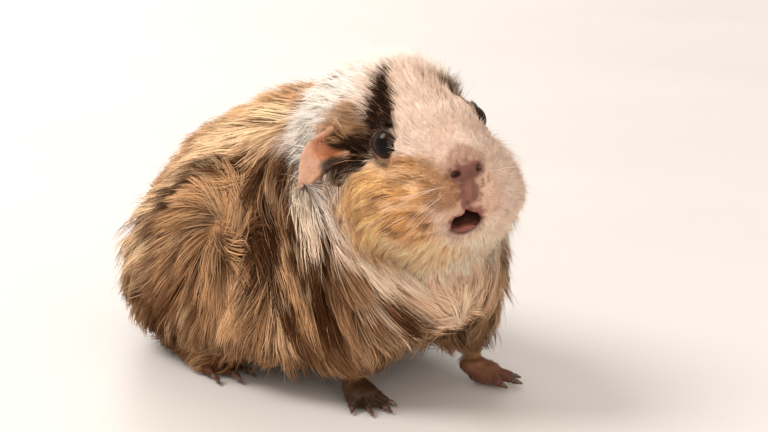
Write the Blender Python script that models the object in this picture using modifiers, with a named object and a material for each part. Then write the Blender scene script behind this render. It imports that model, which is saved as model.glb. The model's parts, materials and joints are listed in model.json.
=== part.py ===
"""A guinea pig with a rosetted coat, sitting up on its forelegs with its head raised.

A still, life-size model.  The solids follow the tips of the coat.  The animal looks along -Y, its left side
is at +X and +Z is up; the floor is at Z = 0.  The flesh is modelled whole, from lofted forms that are joined
and smoothed, and is then parted into head, neck, chest, trunk, rump and legs by thin cuts.  The feet, eyes,
ears, nose, lower lip and claws are pieces of their own.
"""

import math

import bmesh
import bpy
from mathutils import Matrix, Vector

MM = 0.001
GAP = 0.3  # clearance between neighbouring pieces, millimetres like every size below

# ---------------------------------------------------------------- trunk and neck
# The trunk, front to back: (behind the forefeet, half width above, half width below, underside, top).
TRUNK_STATIONS = (
    (-26, 12, 12, 44, 66),
    (-18, 25, 26.5, 31, 87),
    (-3, 34, 38.5, 19, 103),
    (22, 44, 52, 7, 114),
    (52, 48, 59, 1, 114),
    (84, 49, 62, 0, 106),
    (110, 46, 60, 0, 94),
    (132, 39, 51, 1, 78),
    (149, 29, 37, 4, 59),
    (159, 14, 16, 13, 39),
)
TRUNK_SKIRT = 0.46  # below 1, the flanks hang squarely, as the coat does
NECK_CENTRE, NECK_RADII = (2, 25, 89), (37, 33, 35)
HAUNCH_CENTRE, HAUNCH_RADII = (33, 96, 36), (26, 36, 34)

# ---------------------------------------------------------------- head
# In the head's own frame: X to its left, Y back from the nose tip, Z up.
# (behind the nose tip, half width above, half width below, underside, top).
HEAD_STATIONS = (
    (0.5, 5, 5, -8, 4),
    (3, 9.5, 12, -16, 8),
    (8, 14.5, 23, -27, 13.5),
    (14, 17, 29.5, -32, 19),
    (22, 17.5, 33, -37, 25),
    (32, 19, 35.5, -40, 31.5),
    (42, 24, 36, -40, 37),
    (54, 30, 36, -39, 39),
    (68, 33, 34, -36, 36),
    (77, 22, 23, -25, 25),
)
HEAD_SKIRT = 0.82
HEAD_WIDEST = 0.15  # the cheeks are widest this far up, as a share of the half height
NOSE_TIP = (-20, -42, 93)
HEAD_YAW, HEAD_PITCH, HEAD_ROLL = -18, 5, 11  # degrees: turned to its right, nose up, left side up

EYE_RADIUS = 5.8
EYE_AT = (14.8, 26.8, 9.8)
EYE_CLEARING, EYE_CLEARING_OUTWARD = (9.0, 12.0, 10.0), 9.0  # the short hair round the eye

NOSE_CENTRE, NOSE_RADII = (0, 4.6, -0.6), (7.6, 5.4, 5.6)
NOSTRIL_AT, NOSTRIL_RADII = (4.4, -0.2, -0.4), (1.9, 2.6, 1.2)
MOUTH_CENTRE, MOUTH_RADII = (-2.6, 4.4, -18.4), (4.8, 6.0, 4.0)
LIP_CENTRE, LIP_RADII = (-3.0, 6.6, -20.2), (3.6, 3.4, 2.0)

# The ear hangs out and down from EAR_ROOT: (along it, half width above, half width below, cup depth).
EAR_ROOT = (19.5, 47.0, 13.0)
EAR_LENGTH = 28.0
EAR_STATIONS = (
    (0.0, 6.0, 6.0, 3.0),
    (0.22, 8.2, 7.5, 3.4),
    (0.48, 8.4, 6.6, 2.8),
    (0.75, 4.2, 4.6, 1.8),
    (1.0, 1.6, 1.8, 0.6),
)
EAR_COLUMNS = 5
EAR_THICKNESS = 1.3
# Degrees: backwards, down at the root, further down at the tip.
EAR_TURNS = {"right": (20, 8, 40), "left": (46, 12, 46)}
EAR_FACING = 14  # degrees that the hollow is turned up from straight ahead
# The short hair in front of the ear: radii along, ahead of and across it, and how far ahead.
EAR_CLEARING, EAR_CLEARING_AHEAD = (19, 11, 13), 7

# ---------------------------------------------------------------- legs and feet
WRIST_HEIGHT = 10.0
FORELEG_RADIUS = 9.2
FORELEG_REGION = (11.5, 33)  # radius and top of the plug that the leg reaches up inside the coat
FORELEGS = {  # elbow, wrist, how far the foot points outwards in degrees
    "right": ((-25, 17, 38), (-22.5, 12, 9), 8),
    "left": ((23, 10, 38), (25.5, 2.5, 9), 46),
}
# Degrees across the foot, and reach from the wrist.
FORE_TOES = ((-34, 13.5), (-11, 16.5), (12, 16.0), (36, 12.5))
FORE_TOE_RADIUS, FORE_CLAW = 2.5, 4.0
PALM_RADII, ANKLE_RADII = (7.0, 7.0, 4.6), (6.6, 7.0, 8.0)
HINDFEET = {"right": ((-36, 105), 7), "left": ((37, 104), 9)}  # heel on the floor, degrees outwards
HIND_SOLE_LENGTH, HIND_SOLE_RADII = 34, (7.4, 5.0)
HEEL_RADII = (6.4, 7.0, 6.8)
HIND_TOES = ((-9, 43.5), (0, 46.5), (9, 43.5))
HIND_TOE_RADIUS, HIND_CLAW = 3.1, 6.0
HIND_CLEARANCE = 1.2  # how clear the coat hangs of the hind feet
TOE_DROP = 1.1  # how far soles and toe pads are cut flat

# ---------------------------------------------------------------- fineness
FLESH_VOXEL, FLESH_SMOOTHING, FLESH_TRIANGLES = 1.6, 12, 1700
FOOT_VOXEL, FOOT_TRIANGLES = 0.55, 240
EYE_SEGMENTS, EYE_RINGS = 16, 10
REGION_REACH = 90  # how far a parting region runs past the body

# Side outlines of the regions that part the flesh, in the head's frame: (back, up).
HEAD_REGION = ((-20, 60), (66, 60), (66, 14), (30, -40), (-20, -40))
NECK_REGION = ((-24, 66), (84, 66), (84, 2), (44, -54), (-24, -54))
CHEST_BACK, RUMP_FRONT = 34, 112
THIGH_CENTRE, THIGH_RADII = (53, 94, 30), (33, 34, 33)

SKIN_TONES = {
    "coat_brown": ((0.36, 0.21, 0.10), 0.85),
    "coat_white": ((0.83, 0.74, 0.65), 0.85),
    "bare_skin": ((0.62, 0.36, 0.31), 0.55),
    "eye_dark": ((0.012, 0.009, 0.008), 0.06),
    "claw_dark": ((0.06, 0.04, 0.03), 0.40),
}


# ---------------------------------------------------------------- shared tools
def clear_scene():
    for obj in list(bpy.data.objects):
        bpy.data.objects.remove(obj, do_unlink=True)


def collection(name):
    made = bpy.data.collections.new(name)
    bpy.context.scene.collection.children.link(made)
    return made


def scaled(point):
    return Vector(point) * MM


def material(name):
    colour, roughness = SKIN_TONES[name]
    made = bpy.data.materials.get(name)
    if made is None:
        made = bpy.data.materials.new(name)
        made.use_nodes = True
        shader = made.node_tree.nodes["Principled BSDF"]
        shader.inputs["Base Color"].default_value = (*colour, 1)
        shader.inputs["Roughness"].default_value = roughness
        shader.inputs["Metallic"].default_value = 0
    return made


def mesh_object(name, mesh, into):
    obj = bpy.data.objects.new(name, mesh)
    into.objects.link(obj)
    return obj


def evaluated_mesh(obj):
    bpy.context.view_layer.update()
    graph = bpy.context.evaluated_depsgraph_get()
    mesh = bpy.data.meshes.new_from_object(obj.evaluated_get(graph))
    mesh.transform(obj.matrix_world)
    return mesh


def copy_of(obj, name, into):
    return mesh_object(name, evaluated_mesh(obj), into)


def settle(obj):
    """Keeps the object's evaluated shape as its mesh and drops its modifiers."""
    mesh = evaluated_mesh(obj)
    obj.modifiers.clear()
    obj.data = mesh
    return obj


def boolean(obj, other, operation):
    change = obj.modifiers.new(operation.lower(), "BOOLEAN")
    change.operation = operation
    change.object = other
    change.solver = "EXACT"
    return settle(obj)


def subdivided(obj, levels):
    if not levels:
        return obj
    smooth = obj.modifiers.new("smooth form", "SUBSURF")
    smooth.levels = smooth.render_levels = levels
    return obj


def loft(name, rings, into, matrix=None, levels=2):
    """A closed form through rings of equal point counts, smoothed by subdivision."""
    mesh = bmesh.new()
    made = [[mesh.verts.new(p) for p in ring] for ring in rings]
    count = len(rings[0])
    for near, far in zip(made, made[1:]):
        for i in range(count):
            j = (i + 1) % count
            mesh.faces.new((near[i], near[j], far[j], far[i]))
    mesh.faces.new(made[0])
    mesh.faces.new(reversed(made[-1]))
    bmesh.ops.recalc_face_normals(mesh, faces=mesh.faces)
    data = bpy.data.meshes.new(name)
    mesh.to_mesh(data)
    mesh.free()
    data.transform(matrix or Matrix.Identity(4))
    return subdivided(mesh_object(name, data, into), levels)


def section(above, below, low, high, skirt=0.92, widest=0.0, count=20):
    """Points (side, height) round a cross-section.

    A low skirt squares its lower half.  The width above and the width below meet at the height widest.
    """
    middle, half = (low + high) / 2, (high - low) / 2
    points = []
    for i in range(count):
        turn = 2 * math.pi * i / count
        c, s = math.cos(turn), math.sin(turn)
        power = skirt if s < 0 else 0.92
        blend = min(1.0, max(0.0, (s - widest + 0.6) / 1.2))
        half_width = below + (above - below) * blend * blend * (3 - 2 * blend)
        side, height = (math.copysign(abs(v) ** power, v) for v in (c, s))
        points.append((side * half_width, middle + height * half))
    return points


def ellipsoid(name, centre, radii, into, matrix=None, segments=16, rings=10):
    bpy.ops.mesh.primitive_uv_sphere_add(segments=segments, ring_count=rings, radius=1)
    obj = bpy.context.active_object
    shape = Matrix.Translation(scaled(centre)) @ Matrix.Diagonal((*scaled(radii), 1))
    obj.data.transform((matrix or Matrix.Identity(4)) @ shape)
    return adopt(obj, name, into)


def adopt(obj, name, into):
    """Names a new primitive and moves it to its collection."""
    obj.name = obj.data.name = name
    for owner in obj.users_collection:
        owner.objects.unlink(obj)
    into.objects.link(obj)
    return obj


def tube(name, points, radii, into, count=12, levels=1):
    """A limb through points, with a (wide, thick) pair of radii at each."""
    points = [scaled(p) for p in points]
    rings = []
    for i, point in enumerate(points):
        ahead = points[min(i + 1, len(points) - 1)] - points[max(i - 1, 0)]
        turn = ahead.to_track_quat("Z", "Y")
        wide, thick = radii[i]
        ring = []
        for k in range(count):
            angle = 2 * math.pi * k / count
            ring.append(point + turn @ scaled((wide * math.cos(angle), thick * math.sin(angle), 0)))
        rings.append(ring)
    return loft(name, rings, into, levels=levels)


def joined(name, parts, into):
    """One mesh object that holds every part's final shape; the parts are removed."""
    whole = bmesh.new()
    for part in parts:
        mesh = evaluated_mesh(part)
        whole.from_mesh(mesh)
        bpy.data.meshes.remove(mesh)
        bpy.data.objects.remove(part, do_unlink=True)
    data = bpy.data.meshes.new(name)
    whole.to_mesh(data)
    whole.free()
    return mesh_object(name, data, into)


def fused(obj, voxel, smoothing=0):
    """Turns overlapping forms into one closed surface and softens it."""
    remesh = obj.modifiers.new("fuse", "REMESH")
    remesh.mode = "VOXEL"
    remesh.voxel_size = voxel * MM
    if smoothing:
        smooth = obj.modifiers.new("soften", "SMOOTH")
        smooth.factor, smooth.iterations = 0.5, smoothing
    return settle(obj)


def thinned(obj, triangles):
    """Brings a mesh down to about that many triangles."""
    obj.modifiers.new("triangles", "TRIANGULATE")
    settle(obj)
    thin = obj.modifiers.new("thin out", "DECIMATE")
    thin.ratio = min(1.0, triangles / len(obj.data.polygons))
    return settle(obj)


def faced_outwards(obj):
    mesh = bmesh.new()
    mesh.from_mesh(obj.data)
    bmesh.ops.recalc_face_normals(mesh, faces=mesh.faces)
    mesh.to_mesh(obj.data)
    mesh.free()
    return obj


def prism(name, outline, half_depth, into, matrix=None):
    """A convex region: an outline of (back, up) points, run half_depth to each side."""
    mesh = bmesh.new()
    face = mesh.faces.new([mesh.verts.new(scaled((-half_depth, back, up))) for back, up in outline])
    run = bmesh.ops.extrude_face_region(mesh, geom=[face])
    moved = [v for v in run["geom"] if isinstance(v, bmesh.types.BMVert)]
    bmesh.ops.translate(mesh, verts=moved, vec=scaled((2 * half_depth, 0, 0)))
    bmesh.ops.recalc_face_normals(mesh, faces=mesh.faces)
    data = bpy.data.meshes.new(name)
    mesh.to_mesh(data)
    mesh.free()
    data.transform(matrix or Matrix.Identity(4))
    return mesh_object(name, data, into)


def block(name, x, y, z, into):
    """A box region from its X, Y and Z ranges."""
    bpy.ops.mesh.primitive_cube_add(size=1)
    obj = bpy.context.active_object
    centre = [(r[0] + r[1]) / 2 for r in (x, y, z)]
    size = [abs(r[1] - r[0]) for r in (x, y, z)]
    obj.data.transform(Matrix.Translation(scaled(centre)) @ Matrix.Diagonal((*scaled(size), 1)))
    return adopt(obj, name, into)


def plug(name, centre, radius, low, high, into):
    """An upright cylinder region."""
    bpy.ops.mesh.primitive_cylinder_add(vertices=16, radius=radius * MM, depth=(high - low) * MM)
    obj = bpy.context.active_object
    obj.data.transform(Matrix.Translation(scaled((*centre, (low + high) / 2))))
    return adopt(obj, name, into)


def grown(region, into):
    """A copy of a convex region that reaches GAP or a little more past it on every side."""
    bigger = copy_of(region, region.name + "_grown", into)
    points = [v.co.copy() for v in bigger.data.vertices]
    centre = sum(points, Vector()) / len(points)
    for vertex, point in zip(bigger.data.vertices, points):
        away = point - centre
        step = [math.copysign(GAP * MM, a) if abs(a) > GAP * MM else 0 for a in away]
        vertex.co = point + Vector(step)
    return bigger


def swollen(obj, into, by=GAP):
    """A copy of a solid, pushed out along its normals."""
    bigger = copy_of(obj, obj.name + "_swollen", into)
    push = bigger.modifiers.new("swell", "DISPLACE")
    push.strength, push.mid_level = by * MM, 0
    return settle(bigger)


def finish(obj, name, tone, into):
    obj.name = obj.data.name = name
    for owner in obj.users_collection:
        owner.objects.unlink(obj)
    into.objects.link(obj)
    obj.data.materials.clear()
    obj.data.materials.append(material(tone))
    obj.data.shade_smooth()
    obj.data.set_sharp_from_angle(angle=math.radians(50))
    return obj


def side_sign(side):
    return 1 if side == "left" else -1


# ---------------------------------------------------------------- frames
def head_matrix():
    turn = (
        Matrix.Rotation(math.radians(HEAD_YAW), 4, "Z")
        @ Matrix.Rotation(math.radians(-HEAD_PITCH), 4, "X")
        @ Matrix.Rotation(math.radians(-HEAD_ROLL), 4, "Y")
    )
    return Matrix.Translation(scaled(NOSE_TIP)) @ turn


def heading(side, degrees):
    """A level unit vector: straight ahead, turned outwards by degrees."""
    turn = math.radians(degrees) * side_sign(side)
    return Vector((math.sin(turn), -math.cos(turn), 0))


# ---------------------------------------------------------------- the flesh, whole
def trunk_form(into):
    rings = []
    for y, above, below, low, high in TRUNK_STATIONS:
        outline = section(above, below, low, high, TRUNK_SKIRT)
        rings.append([scaled((x, y, z)) for x, z in outline])
    return loft("trunk_form", rings, into)


def head_form(into, head):
    rings = []
    for back, above, below, low, high in HEAD_STATIONS:
        outline = section(above, below, low, high, HEAD_SKIRT, HEAD_WIDEST)
        rings.append([scaled((x, back, z)) for x, z in outline])
    return loft("head_form", rings, into, head)


def flesh_whole(into, head):
    parts = [trunk_form(into), head_form(into, head)]
    parts.append(ellipsoid("neck_form", NECK_CENTRE, NECK_RADII, into, None, 32, 20))
    for sign in (-1, 1):
        centre = (sign * HAUNCH_CENTRE[0], *HAUNCH_CENTRE[1:])
        parts.append(ellipsoid("haunch_form", centre, HAUNCH_RADII, into, None, 32, 20))
    for side, (elbow, wrist, _) in FORELEGS.items():
        r = FORELEG_RADIUS
        foot = (wrist[0], wrist[1], WRIST_HEIGHT - 4)
        shoulder = (elbow[0], elbow[1] + 4, elbow[2] + 16)
        radii = [(r + 4, r + 4), (r + 2, r + 2), (r, r), (r - 0.5, r - 0.5)]
        parts.append(tube(f"foreleg_{side}_form", [shoulder, elbow, wrist, foot], radii, into))
    whole = fused(joined("flesh", parts, into), FLESH_VOXEL)
    for side in ("right", "left"):
        boolean(whole, ear_clearing(side, into, head), "DIFFERENCE")
        centre = Vector(EYE_AT) + Vector((EYE_CLEARING_OUTWARD, 0, 0))
        centre.x *= side_sign(side)
        boolean(whole, ellipsoid("eye_clearing", centre, EYE_CLEARING, into, head, 32, 20), "DIFFERENCE")
    return thinned(fused(whole, FLESH_VOXEL, FLESH_SMOOTHING), FLESH_TRIANGLES)


# ---------------------------------------------------------------- parting the flesh
def part_off(rest, name, region, tone, into, forms):
    """Takes what lies in region out of rest, as a node, and leaves GAP between the two."""
    piece = boolean(copy_of(rest, name, forms), region, "INTERSECT")
    boolean(rest, grown(region, forms), "DIFFERENCE")
    return finish(piece, name, tone, into)


def parted(rest, head, into, forms):
    nodes = {}
    radius, top = FORELEG_REGION
    for side, (_, wrist, _) in FORELEGS.items():
        # The leg ends at the wrist, where the foot begins.
        region = plug(f"foreleg_{side}_region", wrist[:2], radius, WRIST_HEIGHT, top, forms)
        nodes[f"foreleg_{side}"] = part_off(rest, f"foreleg_{side}", region, "coat_brown", into, forms)
        below = block(f"wrist_{side}_cut", *((w - 14, w + 14) for w in wrist[:2]), (-5, WRIST_HEIGHT), forms)
        boolean(rest, below, "DIFFERENCE")
    for side in ("right", "left"):
        centre = (side_sign(side) * THIGH_CENTRE[0], *THIGH_CENTRE[1:])
        region = ellipsoid(f"thigh_{side}_region", centre, THIGH_RADII, forms)
        nodes[f"thigh_{side}"] = part_off(rest, f"thigh_{side}", region, "coat_brown", into, forms)
    regions = (
        ("head", prism("head_region", HEAD_REGION, REGION_REACH, forms, head), "coat_white"),
        ("neck", prism("neck_region", NECK_REGION, REGION_REACH, forms, head), "coat_white"),
        ("chest", block("chest_region", (-80, 80), (-60, CHEST_BACK), (-5, 150), forms), "coat_white"),
        ("rump", block("rump_region", (-80, 80), (RUMP_FRONT, 200), (-5, 150), forms), "coat_brown"),
    )
    for name, region, tone in regions:
        nodes[name] = part_off(rest, name, region, tone, into, forms)
    nodes["trunk"] = finish(rest, "trunk", "coat_brown", into)
    return nodes


# ---------------------------------------------------------------- face
def add_eyes(head_node, head, into, forms):
    for side in ("right", "left"):
        sign = side_sign(side)
        centre = (sign * EYE_AT[0], *EYE_AT[1:])
        fine = (EYE_SEGMENTS, EYE_RINGS)
        socket = ellipsoid("eye_socket", centre, (EYE_RADIUS + GAP,) * 3, forms, head, *fine)
        boolean(head_node, socket, "DIFFERENCE")
        ball = ellipsoid("eye", centre, (EYE_RADIUS,) * 3, forms, head, *fine)
        finish(ball, f"eye_{side}", "eye_dark", into)


def add_nose(head_node, head, into, forms):
    pad = ellipsoid("nose_pad", NOSE_CENTRE, NOSE_RADII, forms, head)
    for sign in (-1, 1):
        centre = (sign * NOSTRIL_AT[0], *NOSTRIL_AT[1:])
        hollow = ellipsoid("nostril", centre, NOSTRIL_RADII, forms, head, 8, 6)
        boolean(pad, hollow, "DIFFERENCE")
    seat = ellipsoid("nose_seat", NOSE_CENTRE, [r + GAP for r in NOSE_RADII], forms, head)
    boolean(head_node, seat, "DIFFERENCE")
    finish(pad, "nose", "bare_skin", into)


def add_mouth(head_node, head, into, forms):
    boolean(head_node, ellipsoid("mouth_hollow", MOUTH_CENTRE, MOUTH_RADII, forms, head), "DIFFERENCE")
    lip = ellipsoid("lip", LIP_CENTRE, LIP_RADII, forms, head, 12, 8)
    lip_seat = ellipsoid("lip_seat", LIP_CENTRE, [r + GAP for r in LIP_RADII], forms, head, 12, 8)
    boolean(head_node, lip_seat, "DIFFERENCE")
    finish(lip, "lower_lip", "bare_skin", into)


def ear_frames(side):
    """(middle, ahead, hollow, across) at each station: ahead runs to the tip, hollow looks out of the cup."""
    sign = side_sign(side)
    back_turn, root_droop, curl = EAR_TURNS[side]
    spread, facing = math.radians(back_turn), math.radians(EAR_FACING)
    place, last, frames = Vector(EAR_ROOT), 0.0, []
    for along, *_ in EAR_STATIONS:
        droop = math.radians(root_droop + curl * along)
        level_run = math.cos(droop)
        ahead = Vector((math.cos(spread) * level_run, math.sin(spread) * level_run, -math.sin(droop)))
        place = place + ahead * EAR_LENGTH * (along - last)
        last = along
        level = Vector((math.sin(spread), -math.cos(spread), 0))
        hollow = level * math.cos(facing) + level.cross(ahead) * math.sin(facing)
        across = ahead.cross(hollow)
        frames.append([Vector((sign * v.x, v.y, v.z)) for v in (place, ahead, hollow, across)])
    return frames


def ear_clearing(side, into, head):
    middle, ahead, hollow, _ = ear_frames(side)[len(EAR_STATIONS) // 2]
    frame = Matrix((ahead, hollow, ahead.cross(hollow))).transposed().to_4x4()
    frame.translation = scaled(middle + hollow * EAR_CLEARING_AHEAD)
    return ellipsoid("ear_clearing", (0, 0, 0), EAR_CLEARING, into, head @ frame, 32, 20)


def ear_form(side, into, head):
    """A cupped leaf, drooping outwards and down from the side of the head."""
    mesh = bmesh.new()
    rows = []
    for (_, above, below, cup), (middle, _, hollow, across) in zip(EAR_STATIONS, ear_frames(side)):
        row = []
        for k in range(EAR_COLUMNS):
            t = 2 * k / (EAR_COLUMNS - 1) - 1
            half_width = above if (across.z > 0) == (t > 0) else below
            row.append(mesh.verts.new(scaled(middle + across * half_width * t - hollow * cup * (1 - t * t))))
        rows.append(row)
    for near, far in zip(rows, rows[1:]):
        for k in range(EAR_COLUMNS - 1):
            mesh.faces.new((near[k], near[k + 1], far[k + 1], far[k]))
    data = bpy.data.meshes.new("ear")
    mesh.to_mesh(data)
    mesh.free()
    data.transform(head)
    obj = mesh_object("ear", data, into)
    wall = obj.modifiers.new("wall", "SOLIDIFY")
    wall.thickness, wall.offset = EAR_THICKNESS * MM, 0
    return faced_outwards(settle(subdivided(obj, 1)))


def add_ears(nodes, head, into, forms):
    for side in ("right", "left"):
        ear = ear_form(side, forms, head)
        for near in ("head", "neck"):
            boolean(ear, swollen(nodes[near], forms), "DIFFERENCE")
        finish(ear, f"ear_{side}", "bare_skin", into)


def keep_largest(obj):
    """Drops the crumbs that cuts leave beside a piece."""
    mesh = bmesh.new()
    mesh.from_mesh(obj.data)
    left = set(mesh.verts)
    groups = []
    while left:
        start = left.pop()
        group, edge = {start}, [start]
        while edge:
            vertex = edge.pop()
            for link in vertex.link_edges:
                other = link.other_vert(vertex)
                if other in left:
                    left.discard(other)
                    group.add(other)
                    edge.append(other)
        groups.append(group)
    keep = max(groups, key=len)
    bmesh.ops.delete(mesh, geom=[v for v in mesh.verts if v not in keep], context="VERTS")
    mesh.to_mesh(obj.data)
    mesh.free()


# ---------------------------------------------------------------- feet
def claw(name, root, ahead, length, radius, into):
    """A short curved cone that starts inside the toe's tip and bends down."""
    down = Vector((0, 0, -1))
    tip = root + ahead * length * 0.95 + down * length * 0.22
    points = [root, root + ahead * length * 0.45 + down * 0.1, tip]
    radii = [(radius, radius), (radius * 0.8, radius * 0.85), (radius * 0.25, radius * 0.25)]
    return tube(name, points, radii, into, count=6, levels=0)


def foot(name, side, parts, toes, start, degrees, toe_radius, claw_length, into, forms):
    """Toes and claws are added to the foot's parts, which are fused and cut flat at the floor."""
    claws = []
    for number, (angle, reach) in enumerate(toes, 1):
        ahead = heading(side, degrees + angle)
        knuckle = start + ahead * reach * 0.45
        tip = start + ahead * reach
        knuckle.z, tip.z = toe_radius + 1.6, toe_radius - TOE_DROP
        root = Vector((start.x, start.y, toe_radius + 1.5))
        radii = [(toe_radius + 0.7,) * 2, (toe_radius + 0.15,) * 2, (toe_radius,) * 2]
        parts.append(tube("toe", [root, knuckle, tip], radii, forms, count=8))
        nail_root = tip - ahead * 1.2 + Vector((0, 0, 0.55))
        claws.append((f"{name}_claw_{number}", nail_root, ahead))
    body = thinned(fused(joined(name, parts, forms), FOOT_VOXEL, 4), FOOT_TRIANGLES)
    boolean(body, block("floor_cut", (-90, 90), (-60, 190), (-12, 0), forms), "DIFFERENCE")
    for claw_name, nail_root, ahead in claws:
        nail = settle(claw(claw_name, nail_root, ahead, claw_length, toe_radius * 0.45, forms))
        boolean(body, swollen(nail, forms), "DIFFERENCE")
        finish(nail, claw_name, "claw_dark", into)
    return finish(body, name, "bare_skin", into)


def add_forefeet(into, forms):
    for side, (_, wrist, degrees) in FORELEGS.items():
        start = Vector((wrist[0], wrist[1], 0)) - heading(side, degrees) * 1.5
        palm = start + heading(side, degrees) * 5
        rise = [(start.x, start.y, 3), (*wrist[:2], WRIST_HEIGHT - 1), (*wrist[:2], WRIST_HEIGHT + 7)]
        parts = [
            ellipsoid("palm", (palm.x, palm.y, 4.2), PALM_RADII, forms),
            tube("ankle", rise, [(r, r) for r in ANKLE_RADII], forms),
        ]
        make = (FORE_TOES, start, degrees, FORE_TOE_RADIUS, FORE_CLAW)
        body = foot(f"forefoot_{side}", side, parts, *make, into, forms)
        top = block("wrist_cut", (-90, 90), (-60, 190), (WRIST_HEIGHT - GAP, 40), forms)
        boolean(body, top, "DIFFERENCE")


def add_hindfeet(nodes, into, forms):
    for side, (heel, degrees) in HINDFEET.items():
        start = Vector((heel[0], heel[1], 0))
        toe_base = start + heading(side, degrees) * HIND_SOLE_LENGTH
        wide, thick = HIND_SOLE_RADII
        sole = [(start.x, start.y, thick - TOE_DROP), (toe_base.x, toe_base.y, thick - TOE_DROP - 0.6)]
        parts = [
            tube("sole", sole, [(wide, thick), (wide + 0.8, thick - 0.6)], forms),
            ellipsoid("heel", (start.x, start.y, HEEL_RADII[2] - 0.3), HEEL_RADII, forms),
        ]
        make = (HIND_TOES, start, degrees, HIND_TOE_RADIUS, HIND_CLAW)
        body = foot(f"hindfoot_{side}", side, parts, *make, into, forms)
        pieces = [body] + [o for o in into.objects if o.name.startswith(f"hindfoot_{side}_claw")]
        room = joined("foot_room", [copy_of(piece, "foot_room", forms) for piece in pieces], forms)
        room = thinned(fused(swollen(room, forms, HIND_CLEARANCE), FOOT_VOXEL), FOOT_TRIANGLES * 3 // 2)
        for name in ("trunk", "chest", "rump", f"thigh_{side}"):
            boolean(nodes[name], room, "DIFFERENCE")


# ---------------------------------------------------------------- the animal
def centre_on_floor(into):
    """Moves the finished animal so that the middle of its bounding box is over the origin."""
    points = [v.co for obj in into.objects for v in obj.data.vertices]
    middle = Vector([(min(p[i] for p in points) + max(p[i] for p in points)) / 2 for i in (0, 1)] + [0])
    for obj in into.objects:
        obj.data.transform(Matrix.Translation(-middle))


def main():
    clear_scene()
    animal = collection("guinea_pig")
    forms = collection("forms")
    head = head_matrix()
    nodes = parted(flesh_whole(forms, head), head, animal, forms)
    add_ears(nodes, head, animal, forms)
    add_eyes(nodes["head"], head, animal, forms)
    add_nose(nodes["head"], head, animal, forms)
    add_mouth(nodes["head"], head, animal, forms)
    add_forefeet(animal, forms)
    add_hindfeet(nodes, animal, forms)
    for obj in list(forms.objects):
        bpy.data.objects.remove(obj, do_unlink=True)
    for obj in animal.objects:
        keep_largest(obj)
    centre_on_floor(animal)


main()
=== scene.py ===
"""A guinea pig, life size, sitting up with its head raised: one skin, a long whorled coat laid over
it in tufts, eyes in their lids, whiskers and claws.

Lengths are in metres unless a name or comment says mm. Head places are in the head's own frame: x to
the animal's left, y back from the nose tip, z up. Colours are linear.
"""

import contextlib
import json
import math

import bpy
import bmesh
import numpy as np
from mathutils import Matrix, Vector
from mathutils.bvhtree import BVHTree
from mathutils.kdtree import KDTree

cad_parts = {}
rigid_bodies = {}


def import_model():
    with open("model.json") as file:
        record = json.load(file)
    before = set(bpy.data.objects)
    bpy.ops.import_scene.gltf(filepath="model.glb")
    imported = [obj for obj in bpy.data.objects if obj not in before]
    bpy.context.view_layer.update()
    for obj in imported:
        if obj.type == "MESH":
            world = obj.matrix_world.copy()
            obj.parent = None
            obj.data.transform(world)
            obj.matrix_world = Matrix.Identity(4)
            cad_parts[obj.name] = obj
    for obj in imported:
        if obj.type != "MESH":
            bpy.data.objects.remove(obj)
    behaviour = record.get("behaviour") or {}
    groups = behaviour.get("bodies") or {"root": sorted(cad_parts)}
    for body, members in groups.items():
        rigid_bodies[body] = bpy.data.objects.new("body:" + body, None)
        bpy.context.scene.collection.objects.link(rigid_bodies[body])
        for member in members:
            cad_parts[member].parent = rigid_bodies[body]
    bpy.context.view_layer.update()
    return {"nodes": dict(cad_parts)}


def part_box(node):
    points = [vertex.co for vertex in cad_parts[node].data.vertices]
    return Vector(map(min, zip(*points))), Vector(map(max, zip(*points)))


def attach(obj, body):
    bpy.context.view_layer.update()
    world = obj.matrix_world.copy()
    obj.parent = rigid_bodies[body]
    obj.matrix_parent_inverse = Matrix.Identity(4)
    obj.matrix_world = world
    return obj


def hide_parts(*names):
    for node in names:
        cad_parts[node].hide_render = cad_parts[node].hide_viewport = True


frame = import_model()

MM = 0.001
SEED = 41
LATTICE_SIDE = 32
VOXEL = 0.7 * MM          # grain of the shell that the skin starts from
SINK_ROUNDS = 9           # steps in which the skin sinks to its depth
SKIN_TRIANGLES = 176000
PIECE_TRIANGLES = 190000  # most in one piece of the coat
BODY_UNWRAP_FACES, HEAD_UNWRAP_FACES = 7000, 4000
PATCH = 0.003             # side of each tuft's patch on the bake map
GUIDES = 3                # places along a tuft that bend it, after its root
ROOT_DEPTH = 0.25         # mm that a tuft's root lies under the skin
DENSEST = 1.6             # most roots on a square as wide as the tufts' spacing
LOOSE_SHARE = 0.06        # of the tufts stand out loose
STRAY_SHARE = 0.06        # of the tufts in black hair are brown
SOFTNESS = 0.6            # how far a tuft's shading follows the skin's
UNDERCOAT = 0.80          # the skin's tone under hair, as a share of the hair's
# Places in the head's frame, in mm
MUZZLE, MUZZLE_FRONT = (0, 4, -9), (0, 3, -9)

FEET = ["forefoot_left", "forefoot_right", "hindfoot_left", "hindfoot_right"]
EARS = ["ear_left", "ear_right"]
FLESH = ["head", "neck", "chest", "trunk", "rump", "thigh_left", "thigh_right",
         "foreleg_left", "foreleg_right", "nose", "lower_lip"] + FEET + EARS

# How deep the skin lies under the coat's surface, in mm. The head's own depth comes from head_depth().
DEPTHS = {"trunk": 8.5, "rump": 8.5, "thigh": 7.5, "neck": 8.0, "chest": 6.5, "foreleg": 2.6,
          "forefoot": 0.5, "hindfoot": 0.5, "ear": 0.15, "nose": 0.25, "lower": 0.2}

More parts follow.
